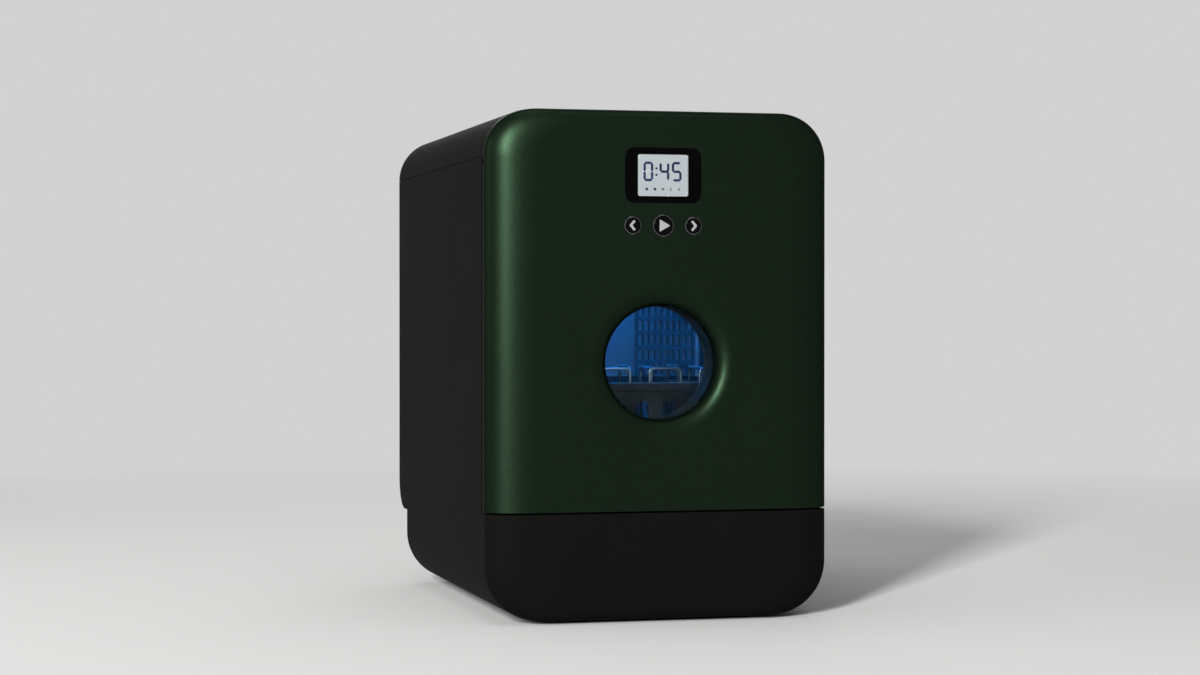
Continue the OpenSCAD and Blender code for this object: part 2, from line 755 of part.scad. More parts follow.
module fan_housing() {
    color("#222426") difference() {
        union() {
            rod_z(fan_r + 4, fan_z, fan_z + fan_h, fan_x, fan_y);
            box([fan_x - 20, fan_y + 20, fan_z], [fan_x + 20, fan_y + fan_r + 16, fan_z + fan_h]);
        }
        rod_z(fan_r + 1.5, fan_z + 3, fan_z + fan_h - 3, fan_x, fan_y);
        rod_z(20, fan_z + fan_h - 4, fan_z + fan_h + 1, fan_x, fan_y);
        box([fan_x - 17, fan_y + 20, fan_z + 3], [fan_x + 17, fan_y + fan_r + 17, fan_z + fan_h - 3]);
        rod_z(3, fan_z - 1, fan_z + 4, fan_x, fan_y);
    }
    color("#222426") rod_z(3, fan_z, fan_z + 18, fan_x, fan_y);
    duct_y = fan_y + fan_r + 16 + joint_gap;
    color("#2a2d30") difference() {
        box([fan_x - 22, duct_y, fan_z], [fan_x + 22, tank_y - 1, fan_z + fan_h + 2]);
        box([fan_x - 19, duct_y - 1, fan_z + 3], [fan_x + 19, tank_y + 1, fan_z + fan_h - 1]);
    }
}

module wash_impeller() {
    color("#55595d") impeller(pump_x, pump_y, pump_z + 6, impeller_r, 15, shaft_r + pin_gap);
}

module drain_impeller() {
    color("#55595d") impeller(drain_x, drain_y, drain_z + 5, drain_r - 6, 10, 2 + pin_gap);
}

module fan_rotor() {
    z = fan_z + 4.5;
    color("#4b4f53") difference() {
        union() {
            rod_z(16, z, z + 18, fan_x, fan_y);
            rod_z(fan_r - 2, z, z + 1.5, fan_x, fan_y);
            for (a = [0 : 30 : 330]) translate([fan_x, fan_y, z]) rotate([0, 0, a]) translate([24, 0, 0])
                rotate([0, 0, 35]) box([0, -0.7, 0], [13, 0.7, 16]);
        }
        rod_z(3 + pin_gap, z - 1, z + 20, fan_x, fan_y);
    }
}

module electronics_box() {
    color("#303335") difference() {
        box([box_x0, box_y0, fan_z], [box_x1, box_y1, fan_z + box_h]);
        box([box_x0 + box_t, box_y0 + box_t, fan_z + box_t],
            [box_x1 - box_t, box_y1 - box_t, fan_z + box_h + 1]);
    }
}

module main_board() {
    z = fan_z + 8;
    color("#1d5b36") {
        for (x = [box_x0 + 6, box_x1 - 6], y = [box_y0 + 6, box_y1 - 6])
            rod_z(2.5, fan_z + box_t, z, x, y);
        box([box_x0 + 3, box_y0 + 3, z], [box_x1 - 3, box_y1 - 3, z + board_t]);
        translate([box_x0, box_y0, z + board_t]) {
            box([20, 20, 0], [44, 46, 14.4]);
            box([56, 30, 0], [84, 52, 10.4]);
            for (x = [26, 46]) rod_z(7, 0, 15.4, x, 80);
            box([62, 74, 0], [82, 110, 6.4]);
        }
    }
}

// Hinge, catch and seal

module hinge_arm_upper() {
    z0 = hinge_arm_z;
    z1 = z0 + hinge_arm_t;
    color("#8d9093") {
        rod_z(5.5, z0, z1, hinge_x, hinge_y);
        box([hinge_x - 4, hinge_y, z0], [hinge_x + 5.5, tub_front + 2, z1]);
        box([hinge_x - 3, tub_front, z0 - 14], [hinge_x + 5.5, tub_front + 2, z1 + 8]);
        rod_z(hinge_pin_r, z0 - hinge_pin_len, z0, hinge_x, hinge_y);
    }
}

module hinge_plate_lower() {
    z1 = fascia_z - 3;
    color("#8d9093") {
        box([hinge_x - 2, hinge_y - 7, z1 - 3], [hinge_x + 30, hinge_y + 7, z1]);
        rod_z(hinge_pin_r, z1, door_low + hinge_pin_len, hinge_x, hinge_y);
    }
}

module magnet_catch() {
    color("#6d7073") {
        box([catch_x - 4.7, frame_y, catch_z - 19.7], [catch_x + 4.7, frame_y + 12, catch_z + 19.7]);
        box([catch_x - 7, tub_front, catch_z - 24], [catch_x + 7, tub_front + 2, catch_z + 24]);
    }
}

module tub_seal() {
    color("#3a3b3c") difference() {
        tile_y(-tub_w / 2 - 7, tub_w / 2 + 7, door_back + seat, frame_y, tub_low - 1.4, tub_high + 7, tub_r + 6);
        tile_y(-tub_w / 2 + 1, tub_w / 2 - 1, door_back - 1, frame_y + 1, tub_low + 1, tub_high - 1, tub_r - 1);
    }
}

// Door

module hinge_slot() {
    box([-half_w - 1, hinge_y - 7.5, hinge_arm_z - 1],
        [hinge_x + 7.5, door_back + 1, hinge_arm_z + hinge_arm_t + 1]);
}

// Flare and hole of the window, turned about the window's axis
module window_cut() {
    flare = [for (a = [90 : -10 : 0])
        [window_r + flare_w * (1 - cos(a)), flare_d * (1 - sin(a))]];
    translate([0, front_y, window_z]) rotate([-90, 0, 0]) rotate_extrude($fn = 96)
        polygon(concat([[0, -1], [window_r + flare_w, -1]], flare, [[window_r, pane_in + 1], [0, pane_in + 1]]));
}

// Takes the sharp corner off the door's rear edge on the hinge side
module hinge_edge_cut() {
    r = hinge_corner_r;
    x = -half_w + r;
    y = door_back - r;
    translate([0, 0, door_low - 1]) linear_extrude(body_h) polygon(concat(
        [for (a = [90 : 15 : 180]) [x + r * cos(a), y + r * sin(a)]],
        [[-half_w - 1, y], [-half_w - 1, door_back + 1], [x, door_back + 1]]));
}

module door_shell() {
    boss_top = hinge_arm_z - 1;
    bores = [[door_low - 1, door_low + 13.5], [boss_top - 13.5, boss_top + 1]];
    color("#1f3a26") difference() {
        union() {
            difference() {
                pillow(door_low, body_h, top_corner_r, door_back, 0);
                pillow(door_low, body_h, top_corner_r, door_back + 1, door_wall);
            }
            for (z = [door_low + 1, boss_top - boss_h])
                box([-half_w + 2, boss_y, z], [boss_x, door_back - liner_t, z + boss_h]);
            box([half_w - 26, door_back - 18, window_z - grip_h / 2 - 6],
                [half_w - 2, door_back - liner_t, window_z + grip_h / 2 + 6]);
            rod_y(window_r + flare_w + 2, front_y + 2, front_y + pane_in, 0, window_z);
        }
        window_cut();
        tile_y(-display_w / 2 - 0.15, display_w / 2 + 0.15, front_y - 1, front_y + display_in + glass_t,
            display_z - display_h / 2 - 0.15, display_z + display_h / 2 + 0.15, 9.15);
        tile_y(-screen_w / 2 - 1, screen_w / 2 + 1, front_y - 1, front_y + door_wall + 1,
            display_z - screen_h / 2 - 1, display_z + screen_h / 2 + 1, 3);
        for (i = [0 : 2]) rod_y(button_rs[i] + button_gap + ring_w, front_y - 1, front_y + door_wall + 1,
            button_xs[i], button_z);
        for (z = bores) rod_z(bush_r, z[0], z[1], hinge_x, hinge_y);
        hinge_slot();
        hinge_edge_cut();
        tile_y(half_w - 14, half_w + 20, door_back - 13, door_back + 1,
            window_z - grip_h / 2, window_z + grip_h / 2, 7);
    }
}

module liner_outline() {
    difference() {
        front_outline(liner_in);
        translate([-body_w, -1]) square([2 * body_w, door_low + liner_in + 1]);
    }
}

module door_liner() {
    plate_y = door_back - liner_t;
    color("#2a2c2d") difference() {
        union() {
            translate([0, door_back, 0]) rotate([90, 0, 0]) linear_extrude(liner_t) liner_outline();
            tile_y(-plug_w / 2, plug_w / 2, door_back - 1, plug_back, plug_low, plug_high, plug_r);
        }
        tile_y(-plug_w / 2 + liner_t, plug_w / 2 - liner_t, plate_y - 1, plug_back - liner_back_t,
            plug_low + liner_t, plug_high - liner_t, plug_r - liner_t);
        rod_y(window_r, plug_back - liner_back_t - 1, plug_back + 1, 0, window_z);
        hinge_slot();
        tile_y(half_w - 16, half_w + 20, plate_y - 1, door_back + 1,
            window_z - grip_h / 2 - 2, window_z + grip_h / 2 + 2, 7);
        box([catch_x - 5, door_back - 1.2, catch_z - 20], [catch_x + 5, door_back + 1, catch_z + 20]);
    }
}

module outer_pane() {
    color("#9fb8c8", 0.35) rod_y(pane_r, outer_pane_y, outer_pane_y + pane_t, 0, window_z);
}

module inner_pane() {
    color("#9fb8c8", 0.35) rod_y(pane_r, inner_pane_y, inner_pane_y + pane_t, 0, window_z);
}

module window_sleeve() {
    color("#5d6367") difference() {
        rod_y(window_r + sleeve_t, outer_pane_y + pane_t + 1.5, inner_pane_y - 1.5, 0, window_z);
        rod_y(window_r, outer_pane_y, inner_pane_y + 1, 0, window_z);
    }
}

module window_gaskets() {
    color("#202122") for (y = [outer_pane_y + pane_t, inner_pane_y - 1.5]) difference() {
        rod_y(window_r + sleeve_t, y, y + 1.5, 0, window_z);
        rod_y(window_r, y - 1, y + 3, 0, window_z);
    }
}

module display_glass() {
    color("#08090a") difference() {
        tile_y(-display_w / 2, display_w / 2, front_y + display_in - 0.4, front_y + display_in + glass_t,
            display_z - display_h / 2, display_z + display_h / 2, 9);
        tile_y(-screen_w / 2, screen_w / 2, front_y + display_in + 0.6, front_y + display_in + glass_t + 1,
            display_z - screen_h / 2, display_z + screen_h / 2, 2);
    }
}

module display_screen() {
    y0 = front_y + display_in + 0.6;
    color("#e9eaee") tile_y(-screen_w / 2 + 0.2, screen_w / 2 - 0.2, y0, y0 + screen_t + 1,
        display_z - screen_h / 2 + 0.2, display_z + screen_h / 2 - 0.2, 1.8);
    color("#e9eaee") tile_y(-screen_w / 2 + 1, screen_w / 2 - 1, y0 + screen_t + 1, board_y,
        display_z - screen_h / 2 + 1, display_z + screen_h / 2 - 1, 1);
}

module control_board() {
    color("#1d5b36") {
        box([-52, board_y, button_z - 16], [52, board_y + board_t, display_z + 30]);
        for (x = button_xs) rod_y(3, board_y - 0.4, board_y, x, button_z);
        for (x = [-46, 46]) box([x - 3, front_y + door_wall, button_z + 40], [x + 3, board_y, button_z + 46]);
        for (x = [-46, 46]) box([x - 3, front_y + door_wall, button_z - 15], [x + 3, board_y, button_z - 9]);
    }
}

module button_rings() {
    color("#c8cacc") for (i = [0 : 2]) {
        r = button_rs[i] + button_gap;
        difference() {
            union() {
                rod_y(r + ring_w, front_y - 0.5, front_y + door_wall, button_xs[i], button_z);
                rod_y(r + ring_w + 1.5, front_y + door_wall, front_y + door_wall + 1.2, button_xs[i], button_z);
            }
            rod_y(r, front_y - 1, front_y + door_wall + 2, button_xs[i], button_z);
        }
    }
}

module button(i) {
    out = button_out[i];
    r = button_rs[i];
    y1 = front_y + button_len;
    color("#0e0f10") translate([button_xs[i], 0, button_z]) rotate([-90, 0, 0]) rotate_extrude($fn = 72)
        difference() {
            union() {
                square_from(0, front_y - out + 0.8, r, front_y + 7);
                square_from(0, front_y - out, r - 0.8, y1 - 2);
                translate([r - 0.8, front_y - out + 0.8]) circle(r = 0.8, $fn = 32);
                square_from(0, front_y + 6, 3, y1);
            }
            square_from(-1, front_y - 20, 0, y1 + 1);
        }
}

module square_from(x0, y0, x1, y1) {
    translate([x0, y0]) square([x1 - x0, y1 - y0]);
}

module button_back() { button(0); }

module button_play() { button(1); }

module button_next() { button(2); }

module hinge_bushes() {
    color("#d9d6cc") for (z = [[door_low + 0.5, door_low + 13.5], [hinge_arm_z - 14.5, hinge_arm_z - 1.2]])
        difference() {
            rod_z(bush_r, z[0], z[1], hinge_x, hinge_y);
            rod_z(hinge_pin_r + pin_gap, z[0] - 1, z[1] + 1, hinge_x, hinge_y);
        }
}

module striker_plate() {
    color("#9b9ea0") box([catch_x - 4.7, door_back - 1.2, catch_z - 19.7],
        [catch_x + 4.7, door_back - 0.2, catch_z + 19.7]);
}

// Rack

module arch(w, z0, z1, depth) {
    rotate([90, 0, 0]) linear_extrude(depth, center = true) {
        translate([-w / 2, z0]) square([w, z1 - w / 2 - z0]);
        translate([0, z1 - w / 2]) circle(r = w / 2, $fn = 32);
    }
}

// The space inside the basket's walls, drawn in by "inset"
module basket_inside(z0, z1, inset) {
    x = basket_w / 2 - rim_out - basket_t - inset;
    tile_z(-x, x, basket_front + rim_out + basket_t + inset, basket_back - rim_out - basket_t - inset,
        z0, z1, 11 - inset);
}

module basket_walls() {
    x1 = basket_w / 2;
    corner = 11 + basket_t;
    n_front = floor((basket_w - 30) / arch_pitch / 2);
    color("#4a4d50") difference() {
        union() {
            tile_z(-x1 + rim_out, x1 - rim_out, basket_front + rim_out, basket_back - rim_out,
                basket_low, rim_z - rim_h, corner);
            for (s = [-1, 1]) box([s * (x1 - rim_out) - (s < 0 ? rim_out : 0), basket_front + 24, runner_z + rail_gap],
                [s * (x1 - rim_out) + (s > 0 ? rim_out : 0), basket_back - 24, runner_z + runner_h]);
        }
        basket_inside(basket_low - 1, rim_z + 1, 0);
        for (i = [-n_front : n_front]) for (y = [basket_front + rim_out, basket_back - rim_out])
            translate([i * arch_pitch, y, 0]) arch(arch_w, basket_low + 12, rim_z - 18, 12);
        for (x = [-x1 + rim_out + corner, x1 - rim_out - corner])
            box([x, basket_front, basket_low - 1], [x + joint_gap, basket_back, rim_z + 1]);
        for (y = [basket_front + rim_out + corner, basket_back - rim_out - corner])
            box([-x1 - 1, y, basket_low - 1], [x1 + 1, y + joint_gap, rim_z + 1]);
    }
    color("#4a4d50") for (s = [0, 1], y = [basket_front + 60, basket_back - 60]) mirror([s, 0, 0])
        rod_x(3.2, x1 + joint_gap, x1 + 9, y, runner_z + 3.2 + rail_gap);
}

module basket_rim() {
    color("#4a4d50") difference() {
        tile_z(-basket_w / 2, basket_w / 2, basket_front, basket_back, rim_z - rim_h, rim_z, 14 + basket_t);
        basket_inside(basket_low, rim_z + 1, 0);
    }
}

module basket_floor() {
    color("#4a4d50") difference() {
        basket_inside(basket_low, basket_low + basket_t, joint_gap);
        for (x = [-108 : 24 : 108], k = [0 : 5])
            box([x - 7, basket_front + 22 + k * slot_pitch, basket_low - 1],
                [x + 7, basket_front + 54 + k * slot_pitch, basket_low + basket_t + 1]);
    }
}

// One hoop from foot a to foot b, standing on the basket's floor
module hoop(a, b) {
    low = basket_low + basket_t;
    high = rim_z + hoop_h;
    sweep([[a[0], a[1], low], [a[0], a[1], high], [b[0], b[1], high], [b[0], b[1], low]], wire_r, 4, 8);
}

module wire_hoops() {
    hoop_w = 32;
    color("#c9ccd0") {
        for (x = [-94, -42, 10, 62]) hoop([x, basket_front + 16], [x + hoop_w, basket_front + 16]);
        for (x = [-80, -28, 24, 76], y = [59, 143]) hoop([x, basket_front + y], [x, basket_front + y + slot_pitch]);
    }
}

module cutlery_basket() {
    x0 = 96;
    x1 = basket_w / 2 - 3 - basket_t - play;
    y0 = basket_back - 108;
    y1 = basket_back - 12;
    z0 = basket_low + basket_t;
    color("#3b3e41") difference() {
        tile_z(x0, x1, y0, y1, z0, z0 + 84, 6);
        tile_z(x0 + 2, x1 - 2, y0 + 2, (y0 + y1) / 2 - 1, z0 + 2, z0 + 85, 4);
        tile_z(x0 + 2, x1 - 2, (y0 + y1) / 2 + 1, y1 - 2, z0 + 2, z0 + 85, 4);
        for (k = [0 : 6], z = [z0 + 14, z0 + 44])
            box([x0 - 1, y0 + 8 + k * 12, z], [x1 + 1, y0 + 14 + k * 12, z + 22]);
    }
}

module spray_arm() {
    color("#7d8286") difference() {
        union() {
            rod_z(17, arm_z, arm_z + arm_t, 0, sump_y);
            for (s = [-1, 1]) translate([0, sump_y, 0]) rotate([0, 0, 25]) {
                box([min(0, s * (arm_len / 2 - 12)), -arm_w / 2 + 6, arm_z + 1],
                    [max(0, s * (arm_len / 2 - 12)), arm_w / 2 - 6, arm_z + arm_t - 1]);
                rod_z(arm_w / 2 - 6, arm_z + 1, arm_z + arm_t - 1, s * (arm_len / 2 - 12), 0);
            }
        }
        rod_z(post_r + pin_gap, arm_z - 1, arm_z + arm_t + 1, 0, sump_y);
        for (s = [-1, 1], k = [0 : 3]) translate([0, sump_y, 0]) rotate([0, 0, 25])
            rod_z(1.6, arm_z + 4, arm_z + arm_t, s * (34 + k * 20), 0);
    }
}

casing();
top_cover();
rear_cover();
plinth();
feet();
front_frame();
base_deck();
tub();
back_grille();
tub_light();
rack_runners();
sump();
filter_cup();
spray_post();
heater_ring();
wash_pump_housing();
wash_motor();
drain_pump_housing();
drain_motor();
water_tank();
fill_funnel();
water_hoses();
inlet_valve();
inlet_connector();
drain_spigot();
mains_inlet();
fan_housing();
main_board();
electronics_box();
hinge_arm_upper();
hinge_plate_lower();
magnet_catch();
tub_seal();
rear_screws();
fill_lid_pin();
fill_lid();
door_shell();
door_liner();
outer_pane();
inner_pane();
window_sleeve();
window_gaskets();
display_glass();
display_screen();
control_board();
button_rings();
hinge_bushes();
striker_plate();
button_back();
button_play();
button_next();
basket_walls();
basket_rim();
basket_floor();
wire_hoops();
cutlery_basket();
spray_arm();
wash_impeller();
drain_impeller();
fan_rotor();
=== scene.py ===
import json
import math

import bmesh
import bpy
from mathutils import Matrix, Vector


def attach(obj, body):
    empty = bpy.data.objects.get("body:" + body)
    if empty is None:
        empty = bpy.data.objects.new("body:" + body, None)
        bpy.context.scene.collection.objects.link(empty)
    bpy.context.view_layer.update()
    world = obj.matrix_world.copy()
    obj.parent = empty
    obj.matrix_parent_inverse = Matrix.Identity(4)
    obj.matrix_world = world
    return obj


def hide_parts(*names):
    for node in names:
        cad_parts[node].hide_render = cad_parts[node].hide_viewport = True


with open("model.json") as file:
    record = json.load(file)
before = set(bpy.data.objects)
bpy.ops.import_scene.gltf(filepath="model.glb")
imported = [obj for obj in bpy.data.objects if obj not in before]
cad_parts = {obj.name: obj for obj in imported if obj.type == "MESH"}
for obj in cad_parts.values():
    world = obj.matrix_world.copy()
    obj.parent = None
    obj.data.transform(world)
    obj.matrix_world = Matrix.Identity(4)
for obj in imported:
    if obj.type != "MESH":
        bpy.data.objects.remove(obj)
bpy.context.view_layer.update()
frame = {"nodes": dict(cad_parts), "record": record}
cad = frame["nodes"]

MM = 0.001

# Sizes in millimetres, as the part's source has them: x to the right, y to the back, z up from the table.
# The flare round the window is the one that the photograph shows, which is wider than the source's.
# BUTTONS holds each cap's body, its x, its radius and how far it stands out.

HALF_W = 170
FRONT_Y = -243.4
DOOR_BACK = -209.4
CASE_Y = -207.4
TUB_FRONT = -203.9
BASE_BACK = 196
BACK_Y = 245
HIGH = 490
FOOT_H = 3
SEAM_Z = 445
DOOR_LOW = 107
FASCIA_Z = 105
CASE_T = 2.5
TOP_CORNER_R = 45
LOW_CORNER_R = 52.5
EDGE_W = 46
EDGE_D = 23
EDGE_Z = 13
WINDOW_Z = 248.5
WINDOW_R = 54.5
FLARE_W = 16
FLARE_D = 12
PANE_Y = FRONT_Y + 15
INNER_Y = DOOR_BACK + 9.5
PLUG_BACK = DOOR_BACK + 16
HINGE = (-163, -216.4, 0)
ARM_ROOM = ((-171, -223.9, 437), (-155.5, DOOR_BACK + 1, 443))
DISPLAY_Z = 427.5
BUTTON_Z = 379.5
BUTTONS = (("button_back", -30, 7.2, 0.8), ("button_play", 0, 9.2, 1.6), ("button_next", 30, 7.2, 0.8))
BUTTON_GAP = 0.3
PORT_Y = 176
LID_Z = 486.8
LID_AXIS = (219, 487.6)
TUB_BACK = 128
TUB_LOW = 110
TUB_HIGH = 430
TUB_X = 148
TUB_T = 2
TUB_R = 20
SUMP_Y = -34.95
RACK_X = 134
RACK_Y = (-173.4, 114.6)
RACK_LOW = 137
RIM_Z = 228
SCREW_X = 116
SCREW_ZS = (139, 262, 411)
INLET = (-96, 0, 46)
SPIGOT = (-42, 0, 40)
FLANGE_Y = 191.5

# Steps in which the door's front is drawn in
PILLOW_STEPS = 14


# ---------------------------------------------------------------- selection and shaping

def clear_selection():
    if bpy.context.mode != "OBJECT":
        bpy.ops.object.mode_set(mode="OBJECT")
    bpy.ops.object.select_all(action="DESELECT")


def take(piece):
    clear_selection()
    piece.select_set(True)
    bpy.context.view_layer.objects.active = piece


def edit(piece):
    take(piece)
    bpy.ops.object.mode_set(mode="EDIT")


def close():
    bpy.ops.object.mode_set(mode="OBJECT")


def pick(piece, kind, test):
    """In edit mode, selects each corner, edge or face whose corners, in millimetres, pass the test."""
    bpy.ops.mesh.select_mode(type=kind)
    bpy.ops.mesh.select_all(action="DESELECT")
    mesh = bmesh.from_edit_mesh(piece.data)
    parts = {"VERT": mesh.verts, "EDGE": mesh.edges, "FACE": mesh.faces}[kind]
    for part in parts:
        corners = [part] if kind == "VERT" else part.verts
        if test([corner.co / MM for corner in corners]):
            part.select_set(True)
    mesh.select_flush_mode()
    bmesh.update_edit_mesh(piece.data)


def near(value, target, slack=0.05):
    return abs(value - target) < slack


def all_at(corners, axis, target):
    return all(near(corner[axis], target) for corner in corners)


def settle(piece):
    """Puts the piece's place, turn and size into its mesh."""
    take(piece)
    bpy.ops.object.transform_apply(location=True, rotation=True, scale=True)
    return piece


def named(name):
    piece = bpy.context.object
    piece.name = name
    piece.data.name = name
    return piece


def from_points(name, points, lines, faces):
    """A new piece from points in millimetres."""
    clear_selection()
    mesh = bpy.data.meshes.new(name)
    piece = bpy.data.objects.new(name, mesh)
    bpy.context.scene.collection.objects.link(piece)
    mesh.from_pydata([Vector(point) * MM for point in points], lines, faces)
    return piece


def slab(name, outline, move):
    """A plate: a flat outline of points, drawn out by move."""
    piece = from_points(name, outline, [], [list(range(len(outline)))])
    edit(piece)
    bpy.ops.mesh.select_all(action="SELECT")
    bpy.ops.mesh.extrude_region_move(TRANSFORM_OT_translate={"value": Vector(move) * MM})
    bpy.ops.mesh.select_all(action="SELECT")
    bpy.ops.mesh.normals_make_consistent(inside=False)
    close()
    return piece


def block(name, low, high):
    clear_selection()
    middle = [(a + b) / 2 * MM for a, b in zip(low, high)]
    size = [(b - a) * MM for a, b in zip(low, high)]
    bpy.ops.mesh.primitive_cube_add(size=1, location=middle, scale=size)
    return settle(named(name))


def round_edges(piece, test, radius, segments=4):
    """Rounds the edges whose corners pass the test."""
    edit(piece)
    pick(piece, "EDGE", test)
    bpy.ops.mesh.bevel(offset=radius * MM, offset_type="OFFSET", segments=segments, affect="EDGES",
                       clamp_overlap=True)
    close()
    return piece


def round_rim(piece, axis, place, radius, segments=4):
    """Rounds the edges that lie at one place on an axis."""
    return round_edges(piece, lambda c: all_at(c, axis, place), radius, segments)


def round_long(piece, height, radius, segments):
    """Rounds the edges that run front to back at one height."""
    return round_edges(piece, lambda c: all_at(c, 2, height) and not near(c[0].y, c[1].y), radius, segments)


def tile(name, axis, low, high, radius, segments=10, soft=0):
    """A block whose four edges along one axis are rounded, and then its rims, by soft."""
    piece = block(name, low, high)
    round_edges(piece, lambda c: not near(c[0][axis], c[1][axis]), radius, segments)
    if soft:
        rims = (low[axis], high[axis])
        round_edges(piece, lambda c: any(all_at(c, axis, rim) for rim in rims), soft, 3)
    return piece


def lathe(name, profile, centre, axis, steps=96):
    """Spins a profile of (radius, place along the axis) into a ring, or a plug if it starts on the axis."""
    side = [0, 0, 0]
    side[0 if axis != 0 else 1] = 1
    along = [0, 0, 0]
    along[axis] = 1
    side, along, centre = Vector(side), Vector(along), Vector(centre)
    points = [centre + side * r + along * h for r, h in profile]
    lines = [(i, i + 1) for i in range(len(points) - 1)]
    if profile[0][0] > 0:
        lines.append((len(points) - 1, 0))
    piece = from_points(name, points, lines, [])
    edit(piece)
    bpy.ops.mesh.select_all(action="SELECT")
    bpy.ops.mesh.spin(steps=steps, angle=2 * math.pi, center=centre * MM, axis=along)
    bpy.ops.mesh.select_all(action="SELECT")
    bpy.ops.mesh.remove_doubles(threshold=0.01 * MM)
    bpy.ops.mesh.normals_make_consistent(inside=False)
    close()
    return piece


def rod(name, radius, low, high, centre, axis, steps=96):
    """A cylinder from low to high along an axis."""
    return lathe(name, [(0, low), (radius, low), (radius, high), (0, high)], centre, axis, steps)


def apply(piece, kind, **settings):
    modifier = piece.modifiers.new(kind.lower(), kind)
    for key, value in settings.items():
        setattr(modifier, key, value)
    take(piece)
    bpy.ops.object.modifier_apply(modifier=modifier.name)
    return piece


def combine(piece, tool, operation="DIFFERENCE"):
    apply(piece, "BOOLEAN", object=tool, operation=operation, solver="EXACT")
    bpy.data.objects.remove(tool)
    return piece


def cut(piece, *tools):
    for tool in tools:
        combine(piece, tool)
    return piece


def join(pieces, name):
    clear_selection()
    for piece in pieces:
        piece.select_set(True)
    bpy.context.view_layer.objects.active = pieces[0]
    bpy.ops.object.join()
    return named(name)


def cut_row(piece, tools):
    """Cuts with many tools at once. The tools don't touch each other."""
    return combine(piece, join(tools, "tools"))


def weld(piece):
    """Merges the doubled corners that a cut can leave."""
    edit(piece)
    bpy.ops.mesh.select_all(action="SELECT")
    bpy.ops.mesh.remove_doubles(threshold=0.005 * MM)
    bpy.ops.mesh.dissolve_degenerate(threshold=0.002 * MM)
    close()


def smooth(piece, angle=32):
    weld(piece)
    take(piece)
    bpy.ops.object.shade_smooth_by_angle(angle=math.radians(angle))
    apply(piece, "WEIGHTED_NORMAL", keep_sharp=True, weight=80)
    return piece


def fit(piece, body, slot, *replaced, material=None, angle=32):
    """Finishes a piece: shading, the material of its slot unless one is given, body and the solids that it
    stands for.
    """
    smooth(piece, angle)
    piece.data.materials.clear()
    piece.data.materials.append(material or FINISHES[slot])
    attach(piece, body)
    if replaced:
        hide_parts(*replaced)
    return piece


# ---------------------------------------------------------------- materials

def new_group(name, inputs, outputs):
    group = bpy.data.node_groups.new(name, "ShaderNodeTree")
    for label, kind, value in inputs:
        socket = group.interface.new_socket(label, in_out="INPUT", socket_type=kind)
        socket.default_value = value
    for label, kind in outputs:
        group.interface.new_socket(label, in_out="OUTPUT", socket_type=kind)
    return group, group.nodes.new("NodeGroupInput"), group.nodes.new("NodeGroupOutput")


def add(tree, kind, links=None, **settings):
    """Adds a node. links maps an input's name or number to a value or to another node's output."""
    node = tree.nodes.new(kind)
    for key, value in settings.items():
        setattr(node, key, value)
    for key, value in (links or {}).items():
        if isinstance(value, bpy.types.NodeSocket):
            tree.links.new(value, node.inputs[key])
        else:
            node.inputs[key].default_value = value
    return node


def spots(tree):
    return add(tree, "ShaderNodeTexCoord").outputs["Object"]


def noise(tree, place, scale, detail=3.0, roughness=0.5):
    return add(tree, "ShaderNodeTexNoise", {"Vector": place, "Scale": scale, "Detail": detail,
                                            "Roughness": roughness}).outputs["Fac"]


def remap(tree, value, low, high, to_low, to_high):
    return add(tree, "ShaderNodeMapRange", {"Value": value, "From Min": low, "From Max": high,
                                            "To Min": to_low, "To Max": to_high}).outputs["Result"]


def math_node(tree, operation, first, second):
    return add(tree, "ShaderNodeMath", {0: first, 1: second}, operation=operation).outputs[0]


FLOAT = "NodeSocketFloat"


def make_grain():
    """Fine pits and a broad unevenness, as on moulded plastic. Gives a height and an uneven mask."""
    group, start, end = new_group("moulded_grain", [("Scale", FLOAT, 900.0), ("Broad", FLOAT, 9.0)],
                                  [("Height", FLOAT), ("Uneven", FLOAT)])
    place = spots(group)
    fine = noise(group, place, start.outputs["Scale"], 2.0)
    pits = add(group, "ShaderNodeTexVoronoi", {"Vector": place, "Scale": start.outputs["Scale"]})
    height = math_node(group, "MULTIPLY_ADD", pits.outputs["Distance"], 0.6)
    group.links.new(fine, height.node.inputs[2])
    group.links.new(height, end.inputs["Height"])
    group.links.new(noise(group, place, start.outputs["Broad"], 4.0, 0.6), end.inputs["Uneven"])
    return group


def make_wear():
    """Light scuffs along edges. Gives a mask."""
    group, start, end = new_group("edge_wear", [("Width", FLOAT, 0.0008), ("Amount", FLOAT, 0.5)],
                                  [("Mask", FLOAT)])
    bevel = add(group, "ShaderNodeBevel", {"Radius": start.outputs["Width"]}, samples=4)
    flat = add(group, "ShaderNodeNewGeometry")
    dot = add(group, "ShaderNodeVectorMath", {0: bevel.outputs["Normal"], 1: flat.outputs["Normal"]},
              operation="DOT_PRODUCT")
    edge = remap(group, dot.outputs["Value"], 0.995, 0.85, 0.0, 1.0)
    patches = remap(group, noise(group, spots(group), 60.0, 5.0, 0.7), 0.42, 0.62, 0.0, 1.0)
    mask = math_node(group, "MULTIPLY", math_node(group, "MULTIPLY", edge, patches), start.outputs["Amount"])
    group.links.new(mask, end.inputs["Mask"])
    return group


def make_dust():
    """Thin dust on what faces up. Gives a mask."""
    group, start, end = new_group("settled_dust", [("Amount", FLOAT, 0.3)], [("Mask", FLOAT)])
    facing = add(group, "ShaderNodeSeparateXYZ",
                 {0: add(group, "ShaderNodeNewGeometry").outputs["Normal"]}).outputs["Z"]
    up = remap(group, facing, 0.55, 1.0, 0.0, 1.0)
    cloud = remap(group, noise(group, spots(group), 26.0, 6.0, 0.65), 0.35, 0.75, 0.2, 1.0)
    mask = math_node(group, "MULTIPLY", math_node(group, "MULTIPLY", up, cloud), start.outputs["Amount"])
    group.links.new(mask, end.inputs["Mask"])
    return group


